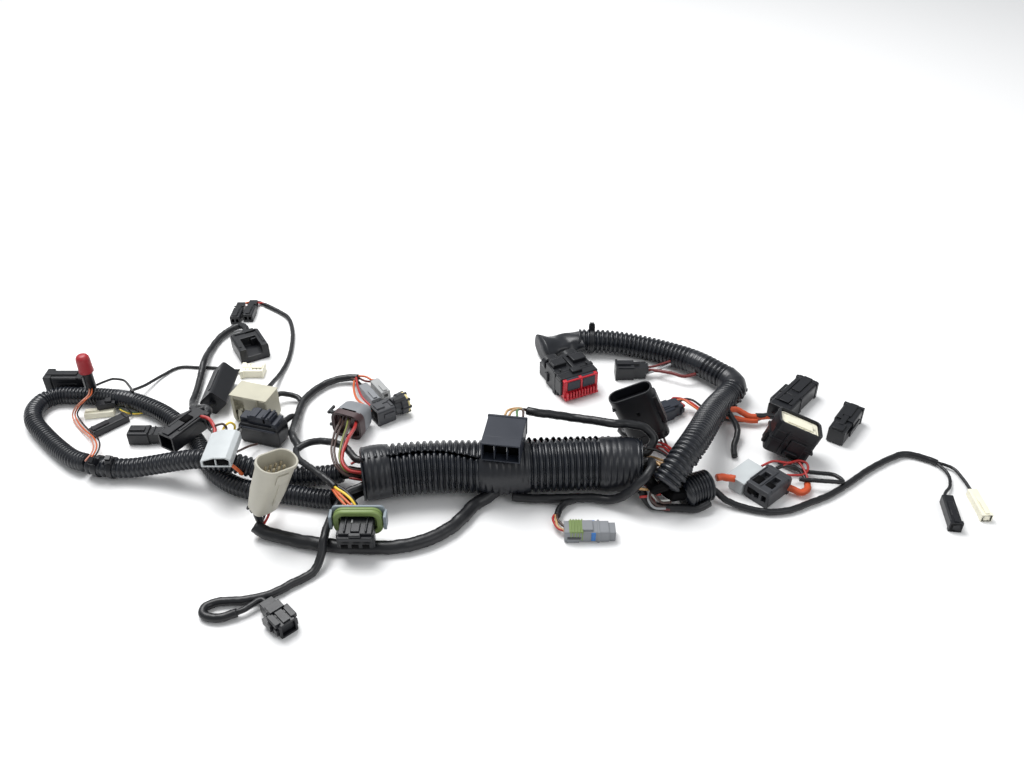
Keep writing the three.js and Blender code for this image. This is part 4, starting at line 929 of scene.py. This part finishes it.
# Leads: taped leads, and some stand for the CAD solid of their place
TAPE_TURN = 3.2


def lead_tape(name, size):
    """The radius of a lead's tape. Where its spiral starts follows from the lead's name."""
    return wound(size, size * TAPE_TURN, seed=sum(map(ord, name)) % 97 / 97)


def lead(name, points, size, stands_for=(),
         material=LEAD_TAPE):
    """A taped lead along a route. The first point is where it leaves the harness."""
    step = max(0.8, size * 0.4)
    piece, places = sweep(name, points, lead_tape(name, size), material, 20, step)
    path = [tuple(p) for p in places[::4]]
    path.append(tuple(places[-1]))
    if stands_for:
        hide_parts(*stands_for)


def wires(group, size, *routes):
    """Insulated wires, each a colour and its points."""
    for number, (color, points) in enumerate(routes):
        sweep(f"{group}_{number}_{color}", points, size, WIRES[color], 10, 0.9)


def branch(name, points, size, material=LEAD_TAPE):
    """A short taped branch, or a stretch of tape, that is not declared as a cord."""
    sweep(name, points, lead_tape(name, size), material, 14, 0.9)


def behind(frame, x, z, back, slack=5):
    """Two points straight behind a connector whose wires end is at back."""
    return [at(frame, x, back + slack, z), at(frame, x, back - 0.5, z)]



lead("over_lead", [
    (-101, 0, 27), (-109, 2, 27), (-119, 15, 27), (-135, 25, 24), (-148, 28, 20), (-156, 22, 19),
], 2.7, stands_for=["left_mouth_leads"])
lead("green_lead", [(-156, 22, 19), (-152, 9, 22), (-138, -8, 26), (-124, -22, 27), (-120, -26, 26)], 2.4)
lead("rear_lead", [
    (-154, 24, 19), (-162, 40, 18), (-165, 56, 11), (-167, 79, 5), (-166, 100, 4), (-159, 115, 4),
    (-149, 126, 4), (-137, 130, 5), (-126, 129, 6),
], 3)
lead("sensor_lead", [
    (-103, -16, 18), (-113, -22, 17), (-118, -35, 17), (-122, -48, 14), (-123, -62, 14.5), (-124, -73, 8.5),
    (-128, -82, 3.5), (-140, -92, 3.2), (-152, -101, 3.2), (-169, -106, 3.2), (-182, -107, 3.2),
    (-190, -111, 3.2), (-190, -117, 3.2), (-181, -120, 3.2), (-169, -116.5, 4),
], 2.9)
lead("front_lead_fine", [
    (-172, -46, 9), (-166, -49, 6), (-158, -51, 5), (-142, -56, 5), (-121, -60, 5), (-100, -62, 5),
    (-74, -61, 5), (-55, -54, 5), (-40, -42, 5), (-31, -29, 5), (-26, -21, 5), (-18, -15, 6), (-10, -9, 9),
], 4.75, stands_for=["front_lead"])
lead("hood_lead_fine", [
    (-232.5, 58, 21.3), (-229.5, 63, 21.3), (-235, 74, 17), (-246, 83, 10), (-253, 95, 5), (-255, 115, 3.6),
    (-257, 136, 4.5), (-258, 150, 6.7), (-259, 173, 3.6), (-254, 197, 3.6), (-243, 210, 4.5), (-235, 203, 7),
    (-232.5, 190, 7),
], 2.9, stands_for=["hood_lead"])
lead("twin_lead_fine", [
    (-228, 250, 2.2), (-214, 239, 2.2), (-203, 228, 2.2), (-195, 207, 2.2), (-191, 183, 2.2),
    (-190, 160, 2.2), (-192, 140, 3), (-194, 122, 7), (-196.5, 101, 12),
], 1.9, stands_for=["twin_lead"])
lead("thin_lead", [
    (-303, 103.6, 11.4), (-298, 118, 6), (-290, 138, 2), (-280, 150, 1.5), (-262, 150, 1.5),
    (-246, 149, 1.5), (-233, 145, 2), (-225.5, 142.7, 3.5),
], 1.25, ["loop_branch_leads"])
lead("relay_lead", [
    (90, 8, 28), (95, 8, 28), (100, 14, 35), (94, 19, 41), (82, 21, 43), (72, 19, 45), (60, 26, 42),
    (46, 33, 39), (30, 33, 42), (16, 32, 45), (11, 34, 45),
], 3.2, stands_for=["right_mouth_leads"])
lead("under_lead", [
    (89, -2, 27), (96, -2, 28), (96, -12, 32), (92, -19, 30), (86, -21, 24), (80, -21, 16), (70, -18, 7),
    (55, -14, 5), (34, -14.6, 5), (13, -14.8, 5), (0, -14, 6),
], 3.3)
lead("tail_lead", [
    (131, -10, 11.4), (141, -10, 9), (150, -17, 5), (165, -23, 2.8), (179, -26, 2.8), (193, -24, 2.8),
    (208, -17, 2.8), (224, -9, 2.8), (242, 4, 2.8), (261, 19, 2.8), (280, 31, 2.8), (292, 36, 2.8),
    (302, 33, 2.8), (313, 26, 2.8),
], 2.4, stands_for=["short_mouth_leads"])
lead("tail_gray_lead", [
    (312, 26.7, 2.8), (316, 14, 2.8), (313, 1, 2.8), (305.2, -9.5, 4), (304.5, -14, 4),
], 1.2)
lead("tail_ivory_lead", [
    (312, 26.7, 2.8), (322, 20, 2.8), (325, 8, 2.8), (325.7, -2, 3), (325.7, -6, 3),
], 1.2)
lead("long_lead", [
    (166, 73, 16), (174, 78, 12), (185, 76, 7), (203, 76.5, 7),
], 2.4, stands_for=["right_branch_leads"], material=ORANGE_TAPE)
lead("drop_lead", [(166, 70, 15), (171, 58, 9), (166, 42, 4), (165, 33, 3)], 2.4)
lead("square_lead", [
    (196, 26.5, 3), (210, 16, 4), (222, 12, 5), (232, 10, 5), (236, 2, 6), (222, 0, 8), (205, 3, 7),
], 1.6, stands_for=["square_wires"])
lead("lower_lead", [
    (90, -14, 12), (96, -20, 4.5), (104, -23, 4.5), (116, -24, 4.5), (128, -25, 5), (137, -21, 7),
], 3)
lead("back_lead", [
    (150.5, 130, 9), (141, 128, 8), (130, 133, 8), (115.5, 139, 6.5), (110.8, 139, 6.5),
], 1.4, stands_for=["right_bend_leads"], material=WIRES["maroon"])

# Taped branches from the leads to the connectors
branch("green_seal_lead", [(-118, -26, 26), (-112, -31, 26), (-107, -37, 25), (-104, -41, 23)], 1.6)
branch("receptacle_lead", [(-171, -46, 8), (-170, -42, 9), *behind("gray_receptacle", -3, 0, 23, 3)], 2.6)
branch("sensor_branch", [(-172, -117.5, 4), (-166, -115, 4.6), *behind("sensor_connector", 0, 0, 13)], 2)
branch("ivory_lead", [
    (-166.5, 97, 4), (-172, 104, 5), (-185, 104, 8), *behind("ivory_block", 6, -4, 9.5),
], 2.2)
branch("sealed_lead", [(-167, 76, 5.5), (-170, 76, 7), *behind("sealed_block", 10, 0, 7.5)], 2.4)
branch("box_lead", [(-240, 77.5, 14.5), (-234, 88, 10.5), (-234, 90, 10.5)], 2.2)
branch("left_plug_lead", [
    (-236, 73, 17.5), (-246, 66, 18), (-256, 60, 15), *behind("left_plug", 0, 0, 13),
], 1.8)
branch("flat_lead", [(83, 62, 5), (86, 56, 6), *behind("flat_receptacle", 0, 0, 23, 2)], 3)
branch("four_way_lead", [(44, -15, 4), (38, -19, 5), (33, -25, 5), (31, -32, 5)], 2.5)

# Wires of the loop
wires(
    "pair", 0.6,
    ("orange", [(-333, 104, 16), (-329, 90, 17), (-332, 84, 16), (-339, 85, 9), (-342, 83, 4), (-337, 75, 2),
                (-328, 65, 2), (-317, 53, 5), (-306, 34, 12), (-302, 19.5, 16.5), (-303, 11.5, 17)]),
    ("pink", [(-335, 104, 16), (-331, 90, 17), (-334, 83, 16), (-341, 84, 9), (-343.6, 82, 4), (-339, 74, 2),
              (-330, 64, 2), (-319, 52, 5), (-308, 33, 12), (-304, 19.5, 16.5), (-305, 11.5, 17)]),
    ("black", [(-331, 104, 15), (-327, 91, 17), (-330, 85, 16), (-337, 86, 9), (-340.4, 83.5, 4),
               (-335, 76, 2), (-326, 66, 2), (-315, 54, 5), (-304, 35, 12), (-300, 20, 16.5),
               (-301, 12, 17)]),
)
wires(
    "post", 1,
    ("black", [(-331, 108, 14), (-328, 115, 12), (-324, 123, 9), (-317, 123, 8), (-306, 109, 12),
               (-298, 96, 16)]),
)
wires(
    "tab", 0.6,
    ("yellow", [(-309, 89, 4), (-305, 87, 3), (-298, 85, 2.5), (-290, 86, 3), (-285, 87, 6)]),
    ("green", [(-310, 91, 4), (-306, 88.6, 3), (-298, 86.6, 2.5), (-290, 87.6, 3), (-285, 89, 6)]),
    ("black", [(-303, 87.2, 8), (-298.1, 83.8, 3), (-300.9, 80.9, 3)]),
)
wires("plug", 0.85, ("red", [(-264, 58, 6), (-260, 55, 7), (-254, 50, 9)]))
wires(
    "silver_thick", 1.3,
    ("red", [(-234, 54, 24), (-227, 46, 30), (-221, 39, 34), (-216, 31, 37), (-212, 24, 36),
             (-211, 18, 35)]),
)
wires(
    "silver", 0.85,
    ("brown", [(-213, 18, 35), (-213, 26, 36), (-210, 25, 39), (-206, 26, 39), (-204, 25, 36),
               (-205, 18, 35)]),
    ("yellow", [(-206, 18, 35), (-206, 25, 36), (-204, 27, 38), (-202, 29, 38), (-200, 31, 34),
                (-201, 31, 28)]),
    ("black", [(-231, 54, 20), (-226, 44, 25), (-216, 26, 33), (-209, 18, 35)]),
    ("black", [(-197, 18, 35), (-196, 27, 34), (-198, 38, 26), (-203, 46, 14)]),
    ("brown", [(-197, 15.5, 22), (-197, 28, 14), (-195, 39, 8), (-191, 45, 5)]),
)
wires("silver_front", 1.2, ("orange", [(-198, -4, 30), (-195, -6, 29), (-192, -6.5, 26), (-189, -4, 18)]))

# Wires of the left mouth
wires(
    "wedge", 0.85,
    ("brown", [(-131, 80, 12), (-129, 58, 18), (-128, 27, 29), (-127, 7, 29), (-122, -5.5, 26),
               (-115, -9.5, 22), (-105, -7, 19)]),
    ("brown", [(-129, 80, 10), (-127, 58, 16.5), (-126, 27, 28), (-125, 7, 28.5), (-120, -5, 25),
               (-114, -8, 21), (-104, -6, 18)]),
    ("olive", [(-126, 78, 12), (-123, 50, 19), (-121, 16, 30), (-121, 3, 27), (-116, -6.5, 24),
               (-105, -7, 21)]),
    ("brown", [(-124.5, 78, 13), (-121.4, 50, 20), (-119.4, 16, 31), (-119.4, 4, 28), (-114, -5, 25),
               (-104, -5, 22)]),
)
wires(
    "wedge_thick", 1.3,
    ("red", [(-120, 75, 11), (-117, 51, 18), (-117, 18, 31), (-119, 6, 29), (-118, -2.5, 27), (-113, -8, 25),
             (-104, -8.5, 23)]),
)
wires(
    "left_mouth", 0.9,
    ("red", [(-113, 0, 24), (-109, 1.5, 25), (-104, 2, 23), (-99, 1, 22)]),
    ("red", [(-114, -5.5, 16), (-109, -7, 16), (-103, -8, 16), (-99, -8, 16)]),
    ("tan", [(-111, -18.5, 8), (-109, -15.5, 10), (-107, -10.5, 12), (-104, -7.5, 14), (-99, -7, 15)]),
    ("tan", [(-108, -17.5, 9), (-107, -14.5, 11), (-105, -9.5, 12), (-102, -6.5, 13), (-99, -6, 14)]),
    ("yellow", [(-121, -25, 26), (-118, -29, 27), (-112, -34, 27), (-107, -39, 26), (-103, -44, 23)]),
    ("orange", [(-121, -26, 25), (-117, -32, 26), (-111, -39, 26), (-106, -44, 25), (-101, -46, 22)]),
    ("orange", [(-122, -26, 24.5), (-118, -33, 25), (-113, -40, 25), (-108, -45, 24), (-103, -47, 21)]),
    ("tan", [(-121, -27, 24), (-115, -35, 24), (-112, -42, 24), (-111, -48, 22)]),
    ("green", [(-120, -27, 24), (-114, -37, 25), (-110, -43, 24), (-104, -46, 22)]),
)
wires(
    "receptacle", 0.9,
    ("black", [(-163, -21, 12), (-165, -27, 10), (-168, -33, 9), (-169, -36, 7), (-170, -44, 7)]),
    ("red", [(-160, -22, 12), (-162, -28, 11), (-165, -33, 10), (-166, -36, 8), (-168, -44, 7)]),
    ("yellow", [(-171, -31, 12), (-173, -35, 10), (-173, -36, 7), (-170, -40, 6), (-168, -46, 7)]),
)
wires(
    "behind_mouth", 0.9,
    ("orange", [(-128, 130, 7), (-120, 129, 7), (-114, 125, 6),
                *behind("small_gray_connector", 0, 1, 10, 4)]),
    ("maroon", [(-126, 130, 5), (-120, 127, 4), (-113, 126, 4),
                *behind("small_gray_connector", 0, -1, 10, 4)]),
    ("brown", [(-134, 130, 5.4), (-128, 124, 7), *behind("long_gray_connector", -1.5, 1, 12)]),
    ("black", [(-134, 129, 5), (-126, 124, 6), *behind("long_gray_connector", 1.5, -1, 12)]),
    ("orange", [(-129, 129, 6), (-127, 110, 8), (-122, 95, 9), (-114, 86, 9),
                *behind("open_gray_connector", -3, 1, -6, 0)]),
    ("red", [(-128, 130, 7), (-124, 112, 9), (-118, 96, 10), (-111, 87, 9),
             *behind("open_gray_connector", 0, 2, -6, 0)]),
    ("black", [(-129, 128, 6), (-122, 115, 5), (-104, 100, 5), *behind("round_connector", 1, 0, 6.5, 5)]),
)

# Wires on and right of the trunk
wires(
    "relay", 0.9,
    ("tan", [at("relay_socket", -4, 15, 2), (-5, 19, 52), (-3.5, 23, 53), (1.5, 30, 50), (7, 35, 46),
             (10.5, 34, 45)]),
    ("tan", [at("relay_socket", -1, 15, 2), (-2, 19, 52), (-0.5, 22, 53), (3.5, 29, 50), (8.5, 34, 46),
             (11.5, 34, 45)]),
    ("green", [at("relay_socket", 5, 15, 0), (3.5, 19, 50), (3.5, 25, 51), (5.5, 32, 48), (11, 35, 45)]),
    ("brown", [at("relay_socket", 9, 15, 0), (7.5, 20, 49), (8, 25, 50), (8, 33, 47), (11.5, 35, 45)]),
)
wires(
    "right_mouth", 0.9,
    ("tan", [(88, 8, 25), (99, 10, 22), (104, 5, 24), (111, 1, 24), (118, -3, 22)]),
    ("tan", [(88, 6, 24), (98, 8, 21), (103, 3.4, 23), (110, -1, 23), (117, -5, 21)]),
    ("tan", [(88, 4, 23), (97, 6, 20), (102, 2, 22), (109, -2.6, 22), (116, -7, 20)]),
    ("brown", [(95, -14, 12), (100, -12, 14), (95, -9, 18), (95, -5, 22), (100, -3.5, 25), (109, -3.5, 26),
               (114, -7.5, 25)]),
    ("brown", [(96, -12, 14), (101, -10, 16), (97, -8, 20), (99, -6.5, 24), (106, -5.5, 25),
               (112, -8.5, 24)]),
    ("white", [(90, -12, 18), (98, -12, 19), (94, -9.5, 22), (95, -5.5, 25), (99, -4.5, 27)]),
    ("red", [(88, -22, 13), (95, -20, 12), (103, -18, 12)]),
    ("tan", [(84, -16, 17), (88, -18, 17), (95, -17, 15), (102, -18, 13)]),
    ("black", [(86, 4, 33), (89, 4.5, 34), (97, 7, 32), (104, 6, 30), (112, 1, 27)]),
    ("white", [(90, 0, 22), (97, -2, 22), (101, -9, 23), (99, -15, 20), (96, -19, 15), (101, -22, 10),
               (109, -21, 9)]),
    ("brown", [(90, -2, 24), (98, -4, 25), (103, -11, 25), (101, -17, 22), (98, -21, 16), (103, -24, 10),
               (110, -22, 8)]),
    ("brown", [(90, -4, 20), (96, -6, 20), (99, -12, 21), (97, -18, 18), (95, -22, 13), (100, -25, 8),
               (108, -24, 6)]),
    ("tan", [(90, 2, 26), (98, 0, 27), (104, -7, 27), (105, -14, 26), (103, -20, 23)]),
    ("gray", [(90, -8, 20), (95, -11, 19), (96, -17, 17), (94, -22, 11), (98, -26, 7), (106, -26, 6)]),
    ("maroon", [(90, -10, 16), (95, -14, 14), (97, -20, 11), (101, -25, 6), (109, -26, 5)]),
    ("maroon", [(106, 43, 4), (109, 36, 7), (113, 24, 12), (115, 9, 18), (111, 0, 22)]),
    ("red", [(108, 44, 8), (112, 38, 11), (116, 26, 16), (117, 11, 22), (113, 0, 26)]),
    ("red", [(106, 41, 6), (111, 37, 9), (115, 25, 14), (116, 10, 20), (112, 0, 24)]),
    ("maroon", [(114, 48, 8), (115, 37, 10), (118, 23, 14), (116, 8, 20), (113, -2, 24)]),
    ("maroon", [(112, 48, 6), (113, 37, 8), (116.4, 23, 12), (114.4, 8, 18), (111, -2, 22)]),
)
wires(
    "dark_gray", 0.9,
    ("red", [*behind("dark_gray_connector", 3, 1, 11, 3)[::-1], (127, 98, 8), (132, 97, 9), (139, 93, 9),
             (146, 79, 12), (150, 70, 16)]),
    ("orange", [*behind("dark_gray_connector", 0, 1, 11, 3)[::-1], (130, 95, 8), (135, 95, 9), (140, 89, 9),
                (147, 75, 12), (151, 66, 17)]),
    ("black", [*behind("dark_gray_connector", -3, 1, 11, 3)[::-1], (130, 93, 7), (137, 96, 9), (142, 93, 10),
               (147, 81, 13), (152, 72, 16)]),
)
wires(
    "back", 1,
    ("maroon", [(111, 141, 8), (117, 142, 8), (124, 144, 9), (132, 147, 10)]),
    ("gray", [(111, 136, 5), (117, 138, 6), (124, 141, 7), (132, 144, 9)]),
)
wires(
    "four_way", 0.9,
    ("red", [(30, -30, 5), (28, -34, 5), (29, -40, 5), (32, -45, 5), (38, -47, 5)]),
    ("brown", [(31, -31, 6), (31, -37, 6.5), (34, -42, 6), (38, -46, 6)]),
    ("tan", [(30, -30, 5), (30, -37, 6), (31, -43, 5.5), (36, -47, 5)]),
)
wires(
    "window", 0.9,
    ("red", [(180, 14, 10), (189, 18, 11), (200, 17.5, 10), (209, 21, 9), (214, 19.5, 8), (214, 14, 7),
             (210, 9.5, 6), (196, 7.5, 7)]),
    ("red", [(192, 14, 8), (202, 18.5, 9), (208, 21, 8), (211, 13, 7), (212, 4.5, 5)]),
)
wires(
    "window_thick", 1.4,
    ("black", [(191, 14, 8), (198, 16.5, 8), (206, 15.5, 7), (210, 8, 5), (211, -0.5, 4), (204, -7, 4)]),
)
wires(
    "long", 1.1,
    ("brown", [(191, 78, 5), (196, 77, 5), (203, 82, 5)]),
    ("black", [(162, 71, 8), (177, 74, 4), (189, 75, 4), (201, 79, 6)]),
)
branch("window_tape", [
    (211, 1.5, 4), (209, -5, 4), (204, -7.5, 4), (197, -4, 5), (189, -1, 6),
], 2.6, ORANGE_TAPE)
branch("band_tape", [(145, 0, 11), (149, 1, 11), (154, 0, 11), (158, -1, 11)], 2.7, ORANGE_TAPE)
branch("long_lead_end", [(189, 76.2, 7), (196, 76.4, 7), (204, 76.5, 7)], 2.55)
branch("long_tape", [(162, 71, 12), (173, 74, 7), (184, 73, 5), (190, 73, 5)], 2, ORANGE_TAPE)
branch("twin_start", [(-238.7, 251, 4), (-235, 254, 2.5), (-228, 250, 2.2)], 1.5)
wires("twin", 0.9, ("red", [(-237, 250, 4), (-232, 252, 3), (-226, 249, 2.6)]),
      ("orange", [(-249, 247, 4), (-243, 253, 3), (-230, 252, 2.4)]))


# Bench and light
def stage():
    """A level white bench, wide enough to fill the view."""
    half = 4
    vertices = [(-half, -half, 0), (half, -half, 0), (half, half, 0), (-half, half, 0)]
    mesh = bpy.data.meshes.new("bench")
    mesh.from_pydata(vertices, [], [(0, 1, 2, 3)])
    material, _, shader = plain("bench_white", (0.9, 0.9, 0.9), 0.6)
    shader.inputs["Specular IOR Level"].default_value = 0.2
    mesh.materials.append(material)
    bench = bpy.data.objects.new("bench", mesh)
    bpy.context.scene.collection.objects.link(bench)


def softbox(name, place, aim, size, power):
    """A square soft light that looks at a place."""
    data = bpy.data.lights.new(name, "AREA")
    data.size = size
    data.energy = power
    light = bpy.data.objects.new(name, data)
    light.location = place
    light.rotation_euler = (Vector(aim) - Vector(place)).to_track_quat("-Z", "Y").to_euler()
    bpy.context.scene.collection.objects.link(light)


stage()
world = bpy.data.worlds.new("world")
world.use_nodes = True
world.node_tree.nodes["Background"].inputs["Color"].default_value = (0.96, 0.98, 1, 1)
world.node_tree.nodes["Background"].inputs["Strength"].default_value = 0.5
bpy.context.scene.world = world
softbox("key", (-0.5, 0.6, 1.5), (0, 0, 0), 1.1, 34)
softbox("fill", (0.9, -0.8, 1.0), (0, 0, 0), 0.8, 4)
bpy.context.scene.view_settings.view_transform = "Standard"

bpy.context.view_layer.update()
